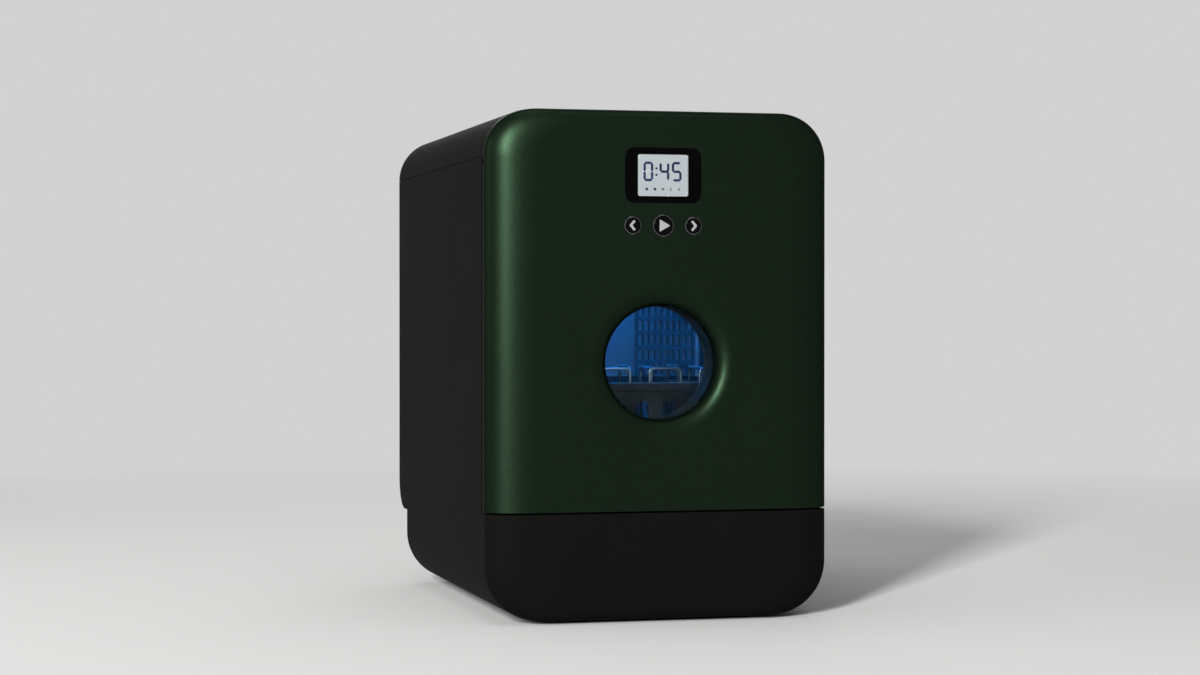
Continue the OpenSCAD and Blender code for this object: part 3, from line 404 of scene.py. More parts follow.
def make_brush():
    """Fine lines along one way of a sheet, as left by rolling and brushing. Gives a height and a mask."""
    group, start, end = new_group("brushed_lines", [("Scale", FLOAT, 260.0), ("Along", FLOAT, 0.03)],
                                  [("Height", FLOAT), ("Lines", FLOAT)])
    place = spots(group)
    stretch = add(group, "ShaderNodeCombineXYZ", {"X": start.outputs["Along"], "Y": 1.0, "Z": 1.0})
    turned = add(group, "ShaderNodeVectorMath", {0: place, 1: stretch.outputs[0]}, operation="MULTIPLY")
    lines = noise(group, turned.outputs[0], start.outputs["Scale"], 3.0, 0.6)
    group.links.new(lines, end.inputs["Height"])
    group.links.new(remap(group, lines, 0.3, 0.7, 0.0, 1.0), end.inputs["Lines"])
    return group


def make_flakes():
    """Small tilted flakes in the paint. Gives a brightness mask."""
    group, start, end = new_group("paint_flakes", [("Scale", FLOAT, 2600.0)], [("Mask", FLOAT)])
    cells = add(group, "ShaderNodeTexVoronoi", {"Vector": spots(group), "Scale": start.outputs["Scale"]})
    mask = remap(group, add(group, "ShaderNodeSeparateColor", {0: cells.outputs["Color"]}).outputs[0],
                 0.55, 1.0, 0.0, 1.0)
    group.links.new(mask, end.inputs["Mask"])
    return group


GRAIN, WEAR, DUST, BRUSH, FLAKES = make_grain(), make_wear(), make_dust(), make_brush(), make_flakes()


def use(tree, group, **values):
    node = tree.nodes.new("ShaderNodeGroup")
    node.node_tree = group
    for key, value in values.items():
        node.inputs[key].default_value = value
    return node.outputs


def blend_colors(tree, mask, first, second):
    node = tree.nodes.new("ShaderNodeMix")
    node.data_type = "RGBA"
    tree.links.new(mask, node.inputs[0])
    for socket, value in ((node.inputs[6], first), (node.inputs[7], second)):
        if isinstance(value, bpy.types.NodeSocket):
            tree.links.new(value, socket)
        else:
            socket.default_value = (*value, 1.0)
    return node.outputs[2]


def start_material(name, **plain):
    material = bpy.data.materials.new(name)
    material.use_nodes = True
    tree = material.node_tree
    surface = tree.nodes["Principled BSDF"]
    for label, value in plain.items():
        surface.inputs[label.replace("_", " ")].default_value = value
    return material, tree, surface


def bump(tree, surface, height, strength, distance=0.0002):
    node = add(tree, "ShaderNodeBump", {"Height": height, "Strength": strength, "Distance": distance})
    tree.links.new(node.outputs[0], surface.inputs["Normal"])


def plastic(name, color, roughness, grain=900.0, depth=0.12, worn=0.5, dust=0.25, spread=0.06,
            shine=0.3, **plain):
    """Moulded plastic: grain, uneven gloss, scuffed edges and a little dust."""
    material, tree, surface = start_material(name, Specular_IOR_Level=shine, **plain)
    fine = use(tree, GRAIN, Scale=grain)
    edge = use(tree, WEAR, Amount=worn)["Mask"]
    film = use(tree, DUST, Amount=dust)["Mask"]
    lighter = tuple(min(1.0, c * 1.7 + 0.02) for c in color)
    darker = tuple(c * 0.82 for c in color)
    shade = blend_colors(tree, fine["Uneven"], darker, color)
    shade = blend_colors(tree, edge, shade, lighter)
    shade = blend_colors(tree, film, shade, (0.30, 0.29, 0.27))
    tree.links.new(shade, surface.inputs["Base Color"])
    gloss = remap(tree, fine["Uneven"], 0.3, 0.7, roughness - spread, roughness + spread)
    tree.links.new(math_node(tree, "MAXIMUM", gloss, film), surface.inputs["Roughness"])
    bump(tree, surface, fine["Height"], depth)
    return material


def sheet_metal(name, color, roughness, scale=260.0, along=0.03, depth=0.05, tarnish=0.8, spread=0.08):
    """Brushed or rolled steel: fine lines, soft clouding and brighter edges."""
    material, tree, surface = start_material(name, Metallic=1.0)
    lines = use(tree, BRUSH, Scale=scale, Along=along)
    cloud = use(tree, GRAIN, Broad=14.0)["Uneven"]
    shade = blend_colors(tree, cloud, tuple(c * tarnish for c in color), color)
    edge = use(tree, WEAR, Amount=0.6)["Mask"]
    shade = blend_colors(tree, edge, shade, tuple(min(1.0, c * 1.2) for c in color))
    tree.links.new(shade, surface.inputs["Base Color"])
    tree.links.new(remap(tree, lines["Lines"], 0.0, 1.0, roughness - spread, roughness + spread),
                   surface.inputs["Roughness"])
    bump(tree, surface, lines["Height"], depth, 0.0001)
    return material


def satin_paint(name, color, flake):
    """Metallic satin paint: flakes and slight orange peel."""
    material, tree, surface = start_material(name, Metallic=0.85, Specular_IOR_Level=0.2,
                                             Specular_Tint=(0.2, 0.3, 0.22, 1))
    fine = use(tree, GRAIN, Scale=420.0, Broad=5.0)
    shade = blend_colors(tree, fine["Uneven"], tuple(c * 0.9 for c in color), color)
    shade = blend_colors(tree, use(tree, FLAKES)["Mask"], shade, flake)
    shade = blend_colors(tree, use(tree, WEAR, Amount=0.25)["Mask"], shade, tuple(c * 2.2 for c in color))
    tree.links.new(shade, surface.inputs["Base Color"])
    tree.links.new(remap(tree, fine["Uneven"], 0.3, 0.7, 0.34, 0.39), surface.inputs["Roughness"])
    bump(tree, surface, fine["Height"], 0.03, 0.0001)
    return material


def clear(name, tint, roughness=0.02, **plain):
    """Clear glass or plastic with faint wiping marks."""
    material, tree, surface = start_material(name, Transmission_Weight=1.0, IOR=1.08, **plain)
    cloud = use(tree, GRAIN, Broad=30.0)["Uneven"]
    tree.links.new(blend_colors(tree, cloud, tint, tuple(min(1.0, c * 1.04) for c in tint)),
                   surface.inputs["Base Color"])
    tree.links.new(remap(tree, cloud, 0.4, 0.8, roughness, roughness + 0.03), surface.inputs["Roughness"])
    return material


def glowing(name, color, strength, looks=1.0, **plain):
    """A lit surface, a little uneven. It looks less bright, by looks, than the light that it gives."""
    material, tree, surface = start_material(name, Roughness=0.35, Emission_Strength=strength, **plain)
    cloud = use(tree, GRAIN, Broad=18.0)["Uneven"]
    glow = blend_colors(tree, cloud, tuple(c * 0.94 for c in color), color)
    surface.inputs["Base Color"].default_value = (*(c * 0.03 for c in color), 1)
    direct = add(tree, "ShaderNodeLightPath").outputs["Is Camera Ray"]
    shown = blend_colors(tree, direct, glow, tuple(c * looks for c in color))
    tree.links.new(shown, surface.inputs["Emission Color"])
    return material


# The finish of each material slot, and three more for single pieces.
FINISHES = {
    "casing_black": plastic("casing_black", (0.0042, 0.0042, 0.0040), 0.58, 1100.0, 0.16, 0.12, 0.02,
                            0.015, shine=0.009),
    "door_green": satin_paint("door_green", (0.0070, 0.0136, 0.0078), (0.012, 0.024, 0.013)),
    "frame_plastic": plastic("frame_dark", (0.022, 0.022, 0.022), 0.5),
    "liner_plastic": plastic("liner_grey", (0.042, 0.046, 0.050), 0.42, 700.0, 0.1),
    "tub_steel": sheet_metal("tub_steel", (0.60, 0.62, 0.64), 0.34, 700.0, 0.012, 0.012, 0.93, 0.02),
    "grille_plastic": plastic("grille_grey", (0.10, 0.115, 0.13), 0.45, 800.0, 0.1),
    "light_blue": glowing("light_blue", (0.003, 0.27, 1.0), 300.0, 0.003),
    "hinge_steel": plastic("hinge_steel", (0.008, 0.008, 0.008), 0.5, 500.0, 0.03, 0.2, 0.0, shine=0.05),
    "glass_clear": clear("window_glass", (0.88, 0.96, 0.985)),
    "glass_black": plastic("display_black", (0.0010, 0.0010, 0.0011), 0.07, 300.0, 0.005, 0.03, 0.0,
                           0.02, shine=0.02),
    "screen_white": glowing("screen_white", (0.76, 0.755, 0.775), 0.70),
    "board_green": plastic("board_green", (0.02, 0.13, 0.05), 0.4, 500.0, 0.1),
    "ring_chrome": sheet_metal("ring_chrome", (0.20, 0.20, 0.21), 0.17, 300.0, 0.3, 0.01, 0.92, 0.02),
    "button_black": plastic("button_black", (0.0020, 0.0020, 0.0022), 0.14, 300.0, 0.008, 0.05, 0.0,
                            0.03, shine=0.02),
    "rubber_black": plastic("rubber_black", (0.018, 0.018, 0.018), 0.78, 1500.0, 0.2, 0.2, 0.3),
    "rack_grey": plastic("rack_grey", (0.020, 0.021, 0.024), 0.46, 800.0, 0.12),
    "wire_silver": sheet_metal("wire_silver", (0.42, 0.43, 0.45), 0.20, 500.0, 0.5, 0.02, 0.9),
    "arm_grey": plastic("arm_grey", (0.17, 0.18, 0.19), 0.44),
    "motor_steel": sheet_metal("motor_steel", (0.52, 0.53, 0.54), 0.36, 300.0, 1.0),
    "pump_plastic": plastic("pump_dark", (0.030, 0.033, 0.036), 0.5),
    "tank_white": plastic("tank_white", (0.60, 0.63, 0.65), 0.4, 500.0, 0.06, 0.1, 0.1,
                          Subsurface_Weight=0.2),
    "bush_ivory": plastic("bush_ivory", (0.62, 0.58, 0.47), 0.4),
}
SLEEVE_DARK = plastic("sleeve_dark", (0.006, 0.013, 0.013), 0.5, 700.0, 0.1, 0.2, 0.0, shine=0.1)
FIGURE_NAVY = plastic("figure_navy", (0.012, 0.02, 0.09), 0.5, 900.0, 0.02, 0.0, 0.0)
SIGN_GREY = plastic("sign_grey", (0.27, 0.27, 0.275), 0.4, 900.0, 0.03, 0.0, 0.0)
for part in frame["record"]["subparts"]:
    cad[part["node"]].data.materials.clear()
    cad[part["node"]].data.materials.append(FINISHES[part["material_slot"]])


# ---------------------------------------------------------------- camera, light and floor

# The camera's place and turn, in metres and radians, were fitted to the outline, the seams and the
# door's corners in the photograph, which is 1200 pixels wide. FOCAL is in those pixels.
PHOTO_WIDE = 1200
FOCAL = 2553.37
EYE = (-0.6634, -2.5903, 0.2900)
TILT = -0.0071
HEADING = -0.2507


def place_camera():
    eye = bpy.data.cameras.new("camera")
    eye.sensor_width = 36
    eye.lens = FOCAL / PHOTO_WIDE * eye.sensor_width
    camera = bpy.data.objects.new("camera", eye)
    camera.location = EYE
    camera.rotation_euler = (math.pi / 2 + TILT, 0, HEADING)
    bpy.context.scene.collection.objects.link(camera)
    bpy.context.scene.camera = camera


def soft_lamp(name, place, aim, width, height, watts):
    lamp = bpy.data.lights.new(name, "AREA")
    lamp.shape = "RECTANGLE"
    lamp.size, lamp.size_y, lamp.energy = width, height, watts
    holder = bpy.data.objects.new(name, lamp)
    holder.location = place
    holder.rotation_euler = (Vector(aim) - Vector(place)).to_track_quat("-Z", "Y").to_euler()
    bpy.context.scene.collection.objects.link(holder)


def place_floor():
    """A pale floor that fades into the backdrop round the object."""
    clear_selection()
    bpy.ops.mesh.primitive_plane_add(size=30, location=(0, 0, 0))
    floor = named("floor")
    material, tree, surface = start_material("floor_pale", Roughness=0.9, Specular_IOR_Level=0.0)
    cloud = noise(tree, spots(tree), 0.7, 4.0, 0.6)
    tree.links.new(blend_colors(tree, cloud, (0.62, 0.62, 0.61), (0.64, 0.64, 0.63)),
                   surface.inputs["Base Color"])
    away = add(tree, "ShaderNodeVectorMath", {0: spots(tree)}, operation="LENGTH").outputs["Value"]
    fade = remap(tree, away, 0.9, 2.4, 0.0, 1.0)
    open_room = add(tree, "ShaderNodeBsdfTransparent")
    ground = add(tree, "ShaderNodeMixShader", {0: fade, 1: surface.outputs[0], 2: open_room.outputs[0]})
    tree.links.new(ground.outputs[0], tree.nodes["Material Output"].inputs["Surface"])
    floor.data.materials.append(material)


def light_room():
    """A pale backdrop, which reflections and glass show too, a fainter glow, and soft lamps.

    The first lamp is narrow and far off, so that it draws the bright line along the door's rounded edge."""
    world = bpy.data.worlds.new("room")
    bpy.context.scene.world = world
    world.use_nodes = True
    tree = world.node_tree
    tree.nodes.clear()
    rays = add(tree, "ShaderNodeLightPath")
    seen = math_node(tree, "MAXIMUM", rays.outputs["Is Camera Ray"], rays.outputs["Is Transmission Ray"])
    seen = math_node(tree, "MAXIMUM", seen, rays.outputs["Is Glossy Ray"])
    glow = add(tree, "ShaderNodeBackground", {"Color": (0.80, 0.81, 0.82, 1), "Strength": 0.30})
    wall = add(tree, "ShaderNodeBackground", {"Color": (0.64, 0.64, 0.64, 1), "Strength": 1.0})
    mixed = add(tree, "ShaderNodeMixShader", {0: seen, 1: glow.outputs[0], 2: wall.outputs[0]})
    add(tree, "ShaderNodeOutputWorld", {"Surface": mixed.outputs[0]})
    soft_lamp("lamp_left", (-4.6, -7.2, 3.1), (0, -0.05, 0.25), 0.95, 3.2, 1450)
    soft_lamp("lamp_top", (-0.2, -0.1, 2.2), (0, 0, 0.25), 1.6, 1.2, 8)
    soft_lamp("lamp_side", (-2.3, 0.2, 1.0), (0, 0, 0.25), 1.2, 1.2, 8)
    soft_lamp("lamp_back", (0.6, 2.2, 1.6), (0, 0, 0.3), 1.6, 1.2, 12)


place_camera()
light_room()
place_floor()
bpy.context.scene.view_settings.view_transform = "Standard"

# ---------------------------------------------------------------- door

def roll_in(depth, width, reach):
    """How far an edge has drawn in at a depth behind the front face."""
    return width * (1 - math.sqrt(max(0, 1 - (1 - depth / reach) ** 2))) if depth < reach else 0


def pillow(name, flat_z, round_z, corner_r, y_back, inset=0):
    """A block with a pillowed front: its sides, its round end and that end's corners roll in."""
    up = 1 if round_z > flat_z else -1
    half, end = HALF_W - inset, round_z - up * inset
    deep = EDGE_D - inset
    y = FRONT_Y + EDGE_D
    low, high = sorted((flat_z + up * inset, end))
    piece = block(name, (-half, y, low), (half, y_back, high))
    round_long(piece, end, corner_r - inset, 20)
    edit(piece)
    pick(piece, "FACE", lambda c: all_at(c, 1, y))
    for step in range(PILLOW_STEPS):
        before = deep * (1 - math.cos(math.pi / 2 * (1 - step / PILLOW_STEPS)))
        after = deep * (1 - math.cos(math.pi / 2 * (1 - (step + 1) / PILLOW_STEPS)))
        side = roll_in(after, EDGE_W - inset, deep) - roll_in(before, EDGE_W - inset, deep)
        over = roll_in(after, EDGE_Z, EDGE_Z) - roll_in(before, EDGE_Z, EDGE_Z)
        bpy.ops.mesh.extrude_region_move(TRANSFORM_OT_translate={"value": (0, (after - before) * MM, 0)})
        y += after - before
        ring = y
        for way in (-1, 1):
            pick(piece, "VERT", lambda c: near(c[0].y, ring, 0.02) and c[0].x * way > 0)
            bpy.ops.transform.translate(value=(-way * side * MM, 0, 0))
        pick(piece, "VERT", lambda c: near(c[0].y, ring, 0.02) and abs(c[0].z - flat_z) > inset + 1)
        bpy.ops.transform.translate(value=(0, 0, -up * over * MM))
        pick(piece, "FACE", lambda c: all_at(c, 1, ring))
    bpy.ops.mesh.inset(thickness=3 * MM)
    close()
    return piece


def make_door():
    """The green shell: pillowed front, hollow back, bosses, window flare, seats, hinge bores and grip."""
    skin = pillow("door_skin", DOOR_LOW, HIGH, TOP_CORNER_R, DOOR_BACK)
    round_rim(skin, 2, DOOR_LOW, 0.9, 3)
    round_rim(skin, 1, DOOR_BACK, 0.7, 2)
    cut(skin, pillow("hollow", DOOR_LOW, HIGH, TOP_CORNER_R, DOOR_BACK + 2, 4))
    for z in (DOOR_LOW + 1, 421):
        combine(skin, block("hinge_boss", (-168, -226.4, z), (-155, -212.4, z + 16)), "UNION")
    combine(skin, block("grip_boss", (144, -227.4, 194.5), (168, -212.4, 302.5)), "UNION")
    combine(skin, lathe("window_boss", [(30, FRONT_Y + 2), (74, FRONT_Y + 2), (74, FRONT_Y + 15),
                                        (30, FRONT_Y + 15)], (0, 0, WINDOW_Z), 1), "UNION")
    flare = [(WINDOW_R + FLARE_W * (1 - math.cos(a)), FRONT_Y + FLARE_D * (1 - math.sin(a)))
             for a in (math.pi / 2 * (1 - k / 16) for k in range(17))]
    profile = [(0, FRONT_Y - 2), (WINDOW_R + FLARE_W, FRONT_Y - 2)] + flare + [(WINDOW_R, FRONT_Y + 17),
                                                                          (0, FRONT_Y + 17)]
    cut(skin, lathe("window_hole", profile, (0, 0, WINDOW_Z), 1, 144))
    cut(skin, tile("display_seat", 1, (-37.65, FRONT_Y - 1, DISPLAY_Z - 26.4),
                   (37.65, FRONT_Y + 2.6, DISPLAY_Z + 26.4), 9.15, 12))
    cut(skin, tile("screen_seat", 1, (-26, FRONT_Y - 1, DISPLAY_Z - 21),
                   (26, FRONT_Y + 5, DISPLAY_Z + 21), 3))
    for _, x, r, _ in BUTTONS:
        cut(skin, rod("button_seat", r + 1.6, FRONT_Y - 1, FRONT_Y + 5, (x, 0, BUTTON_Z), 1, 64))
    for z in (DOOR_LOW - 1, 423.5):
        cut(skin, rod("hinge_bore", 3.8, z, z + 14.5, HINGE, 2, 48))
    cut(skin, block("hinge_slot", *ARM_ROOM))
    cut(skin, tile("grip_pocket", 1, (156, DOOR_BACK - 13, 200.5), (190, DOOR_BACK + 1, 296.5), 12))
    corner = block("corner_block", (-171, -213.9, DOOR_LOW - 2), (-165.5, DOOR_BACK + 1, HIGH + 2))
    post = rod("corner_post", 4.5, 50, 520, (-165.5, -213.9, 0), 2, 64)
    cut(skin, combine(corner, post))
    fit(skin, "door", "door_green", "door_shell", angle=28)


make_door()


# ---------------------------------------------------------------- display and buttons

def outline_piece(name, points, low, high, x, z, soft=0.0):
    """A flat plate with the given outline on the door's face, from depth low to high."""
    corners = [(x + px, FRONT_Y + high, z + pz) for px, pz in points]
    piece = slab(name, corners, (0, low - high, 0))
    if soft:
        round_rim(piece, 1, FRONT_Y + low, soft, 2)
    return piece


def rounded_path(points, radius, steps=5):
    """A closed outline whose corners are rounded."""
    out = []
    for i, point in enumerate(points):
        here = Vector(point)
        before = (Vector(points[i - 1]) - here).normalized() * radius
        after = (Vector(points[(i + 1) % len(points)]) - here).normalized() * radius
        for k in range(steps + 1):
            t = k / steps
            spot = here + before * (1 - t) ** 2 + after * t ** 2
            out.append((spot.x, spot.y))
    return out


# Strokes of a seven-stroke figure, as (across, up), and the strokes of each figure that is shown
SEGMENTS = {"a": ((0, 2), (1, 2)), "d": ((0, 0), (1, 0)), "g": ((0, 1), (1, 1)), "b": ((1, 1), (1, 2)),
            "c": ((1, 0), (1, 1)), "e": ((0, 0), (0, 1)), "f": ((0, 1), (0, 2))}
FIGURES = {"0": "abcdef", "4": "bcfg", "5": "acdfg"}


def stroke(start, end, width):
    """Outline of a straight stroke with pointed ends."""
    a, b = Vector(start), Vector(end)
    along = (b - a).normalized() * width / 2
    side = Vector((-along.y, along.x))
    return [tuple(p) for p in (a, a + along + side, b - along + side, b, b - along - side, a + along - side)]


def make_display():
    bezel = tile("display_bezel", 1, (-37.5, FRONT_Y + 0.1, DISPLAY_Z - 26.25),
                 (37.5, FRONT_Y + 2.6, DISPLAY_Z + 26.25), 9, 14, 0.5)
    cut(bezel, tile("screen_opening", 1, (-25, FRONT_Y - 1, DISPLAY_Z - 20),
                    (25, FRONT_Y + 3, DISPLAY_Z + 20), 2, 6))
    fit(bezel, "door", "glass_black", "display_glass")
    lens = tile("display_lens", 1, (-24.98, FRONT_Y + 0.35, DISPLAY_Z - 19.98),
                (24.98, FRONT_Y + 0.95, DISPLAY_Z + 19.98), 1.98, 6)
    fit(lens, "door", "glass_clear")
    screen = tile("screen_panel", 1, (-24.8, FRONT_Y + 1.25, DISPLAY_Z - 19.8),
                  (24.8, FRONT_Y + 3.6, DISPLAY_Z + 19.8), 1.8, 6, 0.2)
    fit(screen, "door", "screen_white", "display_screen")
    tall, wide, thick = 8.2, 7.4, 2.3
    number = 0
    for place, figure in zip((-18.2, -2.3, 9.9), "045"):
        for name in FIGURES[figure]:
            a, b = (((place + x * wide), y * tall - 4.6) for x, y in SEGMENTS[name])
            number += 1
            line = outline_piece(f"time_stroke_{number}", stroke(a, b, thick), 1.12, 1.24, 0, DISPLAY_Z)
            fit(line, "door", "glass_black", material=FIGURE_NAVY)
    dots = [(-6.5, 6.6, 1.15), (-6.5, 0.4, 1.15)] + [(-16 + i * 8, -13.2, 1.3) for i in range(5)]
    for i, (x, z, r) in enumerate(dots):
        ring = [(r * math.cos(a), r * math.sin(a)) for a in (2 * math.pi * k / 24 for k in range(24))]
        dot = outline_piece(f"time_dot_{i + 1}", ring, 1.12, 1.24, x, DISPLAY_Z + z)
        fit(dot, "door", "glass_black", material=FIGURE_NAVY if i < 4 else SIGN_GREY)


def chevron(way):
    """Outline of an arrow without a shaft, pointing left (-1) or right (1)."""
    points = [(-2.7, 4.0), (-0.7, 5.2), (3.7, 0), (-0.7, -5.2), (-2.7, -4.0), (0.6, 0)]
    return rounded_path([(way * x, z) for x, z in points], 0.8)


def make_buttons():
    signs = {"button_back": chevron(-1), "button_next": chevron(1),
             "button_play": rounded_path([(-4.0, 6.0), (6.6, 0), (-4.0, -6.0)], 1.1)}
    for name, x, r, out in BUTTONS:
        face = FRONT_Y - out
        dish = [(0, face + 0.35), (r * 0.5, face + 0.28), (r * 0.78, face + 0.12), (r - 0.9, face + 0.02),
                (r - 0.35, face + 0.22), (r - 0.06, face + 0.7), (r, face + 1.4)]
        back = [(r, FRONT_Y + 7), (3, FRONT_Y + 7), (3, FRONT_Y + 12.3), (0, FRONT_Y + 12.3)]
        cap = lathe(f"{name}_cap", dish + back, (x, 0, BUTTON_Z), 1, 72)
        fit(cap, name, "button_black", name, angle=40)
        sign = outline_piece(f"{name}_sign", signs[name], -out + 0.08, -out + 0.6, x, BUTTON_Z, 0.12)
        fit(sign, name, "button_black", material=SIGN_GREY)
        hole = r + BUTTON_GAP
        rim = [(hole, FRONT_Y - 0.1), (hole + 0.2, FRONT_Y - 0.35), (hole + 0.45, FRONT_Y - 0.4),
               (hole + 0.75, FRONT_Y - 0.2), (hole + 0.9, FRONT_Y + 0.3), (hole + 0.9, FRONT_Y + 4),
               (hole + 2.7, FRONT_Y + 4), (hole + 2.7, FRONT_Y + 5.2), (hole, FRONT_Y + 5.2)]
        ring = lathe(f"{name}_ring", rim, (x, 0, BUTTON_Z), 1, 96)
        fit(ring, "door", "ring_chrome", *(["button_rings"] if x == 0 else []), angle=40)


make_display()
make_buttons()


# ---------------------------------------------------------------- casing, top cover and plinth

def body_block(name, inset, front):
    """The body behind the door, drawn in by inset: rounded long corners and a raised rear bottom."""
    half, low, high = HALF_W - inset, FOOT_H + inset, HIGH - inset
    back = BACK_Y - inset
    piece = block(name, (-half, front, low), (half, back, high))
    round_long(piece, high, TOP_CORNER_R - inset, 24)
    round_long(piece, low, LOW_CORNER_R - inset, 24)
    under = block("under", (-200, BASE_BACK - inset, -20), (200, 300, 80 + inset))
    bulge = 33 - inset
    corner = block("corner", (-200, back - bulge, 79 + inset), (200, 300, 80 + inset + bulge))
    roller = rod("roller", bulge, -210, 210, (0, back - bulge, 80 + inset + bulge), 0)
    return cut(piece, under, combine(corner, roller))


def make_body():
    """Casing and top cover: one hollow form, parted at the seam, and each with its own holes."""
    seam = 0.5
    shells = []
    for name, lows, highs in (("casing_skin", SEAM_Z - seam / 2, 600), ("top_skin", -50, SEAM_Z + seam / 2)):
        shell = body_block(name, 0, CASE_Y)
        round_rim(shell, 1, BACK_Y, 1.6, 3)
        round_rim(shell, 1, CASE_Y, 0.7, 2)
        cut(shell, body_block("hollow", CASE_T, CASE_Y - 5),
            block("other_half", (-200, -300, lows), (200, 300, highs)))
        shells.append(shell)
    casing, top = shells
    round_edges(top, lambda c: all_at(c, 2, SEAM_Z + seam / 2) and outer(c), 0.35, 2)
    cut(casing, tile("rear_opening", 1, (-128, BACK_Y - 4, 127), (128, BACK_Y + 2, 423), 12, 12),
        rod("inlet_hole", 13.5, 190, 199, INLET, 1, 64),
        rod("spigot_hole", 10.3, 190, 199, SPIGOT, 1, 64),
        tile("mains_hole", 1, (80, 190, 34), (112, 199, 58), 3, 6))
    cut_row(casing, [tile("floor_vent", 2, (i * 14 - 3, 90, 1), (i * 14 + 3, 150, 8), 2.9, 6)
                     for i in range(-4, 5)])
    fit(casing, "body", "casing_black", "casing")
    combine(top, rod("port_flange", 43, 478, 488.6, (0, PORT_Y, 0), 2), "UNION")
    combine(top, block("lug_pocket_wall", (-19, 200, 478.5), (19, 226, 488.4)), "UNION")
    cut(top, lathe("lid_seat", [(0, 486.5), (38.5, 486.5), (38.5, 489.4), (39.1, 490.2), (0, 490.2)],
                   (0, PORT_Y, 0), 2, 144),
        rod("throat", 32, 470, 492, (0, PORT_Y, 0), 2),
        block("lug_pocket", (-15, 200, 484), (15, 222.2, 492)),
        rod("finger_notch", 11, 134, 141, (0, 0, 495), 1, 64))
    fit(top, "body", "casing_black", "top_cover")


def outer(corners):
    return any(abs(p.x) > HALF_W - 1 or p.y > BACK_Y - 1 for p in corners)


def make_plinth():
    skin = pillow("plinth_skin", FASCIA_Z, FOOT_H, LOW_CORNER_R, CASE_Y)
    round_rim(skin, 2, FASCIA_Z, 0.9, 3)
    cut(skin, pillow("hollow", FASCIA_Z, FOOT_H, LOW_CORNER_R, CASE_Y + 2, 3))
    cut(skin, rod("pin_hole", 2.8, 98, 110, HINGE, 2, 48))
    fit(skin, "body", "casing_black", "plinth", angle=28)


make_body()
make_plinth()


# ---------------------------------------------------------------- window, and tubes for wires and hoses

def make_window():
    for name, y in (("outer_pane", PANE_Y), ("inner_pane", INNER_Y)):
        profile = [(0, y), (57.9, y), (58.5, y + 0.6), (58.5, y + 3.4), (57.9, y + 4), (0, y + 4)]
        pane = lathe(f"{name}_glass", profile, (0, 0, WINDOW_Z), 1, 144)
        fit(pane, "door", "glass_clear", name)
    low, high = PANE_Y + 5.5, INNER_Y - 1.5
    profile = [(54.5, low + 0.8), (55.2, low), (57, low), (57, high), (55.2, high), (54.5, high - 0.8)]
    for k in (1, 2, 3):
        y = high + (low - high) * k / 4
        profile += [(54.5, y + 0.9), (54.9, y + 0.5), (54.9, y - 0.5), (54.5, y - 0.9)]
    fit(lathe("window_sleeve_skin", profile, (0, 0, WINDOW_Z), 1, 144), "door", "liner_plastic",
        "window_sleeve", material=SLEEVE_DARK)
    gaskets = (("outer_gasket", PANE_Y + 4, ["window_gaskets"]), ("inner_gasket", INNER_Y - 1.5, []))
    for name, y, replaced in gaskets:
        profile = [(54.9, y), (57, y), (57, y + 1.5), (54.9, y + 1.5), (54.5, y + 1.05), (54.5, y + 0.45)]
        fit(lathe(name, profile, (0, 0, WINDOW_Z), 1, 144), "door", "rubber_black", *replaced)


def tube(name, runs, radius, bend, steps=10):
    """Round wire or hose along each run of points, with its bends rounded."""
    clear_selection()
    curve = bpy.data.curves.new(name, "CURVE")
    curve.dimensions = "3D"
    curve.bevel_depth, curve.bevel_resolution, curve.use_fill_caps = radius * MM, 4, True
    for run in runs:
        points = [Vector(run[0])]
        for before, here, after in zip(run, run[1:], run[2:]):
            before, here, after = Vector(before), Vector(here), Vector(after)
            start = here + (before - here).normalized() * bend
            end = here + (after - here).normalized() * bend
            points += [start * (1 - t) ** 2 + here * 2 * t * (1 - t) + end * t ** 2
                       for t in (k / steps for k in range(steps + 1))]
        points.append(Vector(run[-1]))
        spline = curve.splines.new("POLY")
        spline.points.add(len(points) - 1)
        for spot, point in zip(spline.points, points):
            spot.co = (*(point * MM), 1)
    piece = bpy.data.objects.new(name, curve)
    bpy.context.scene.collection.objects.link(piece)
    take(piece)
    bpy.ops.object.convert(target="MESH")
    edit(piece)
    bpy.ops.mesh.select_all(action="SELECT")
    bpy.ops.mesh.remove_doubles(threshold=0.001 * MM)
    close()
    return piece


make_window()


# ---------------------------------------------------------------- rack

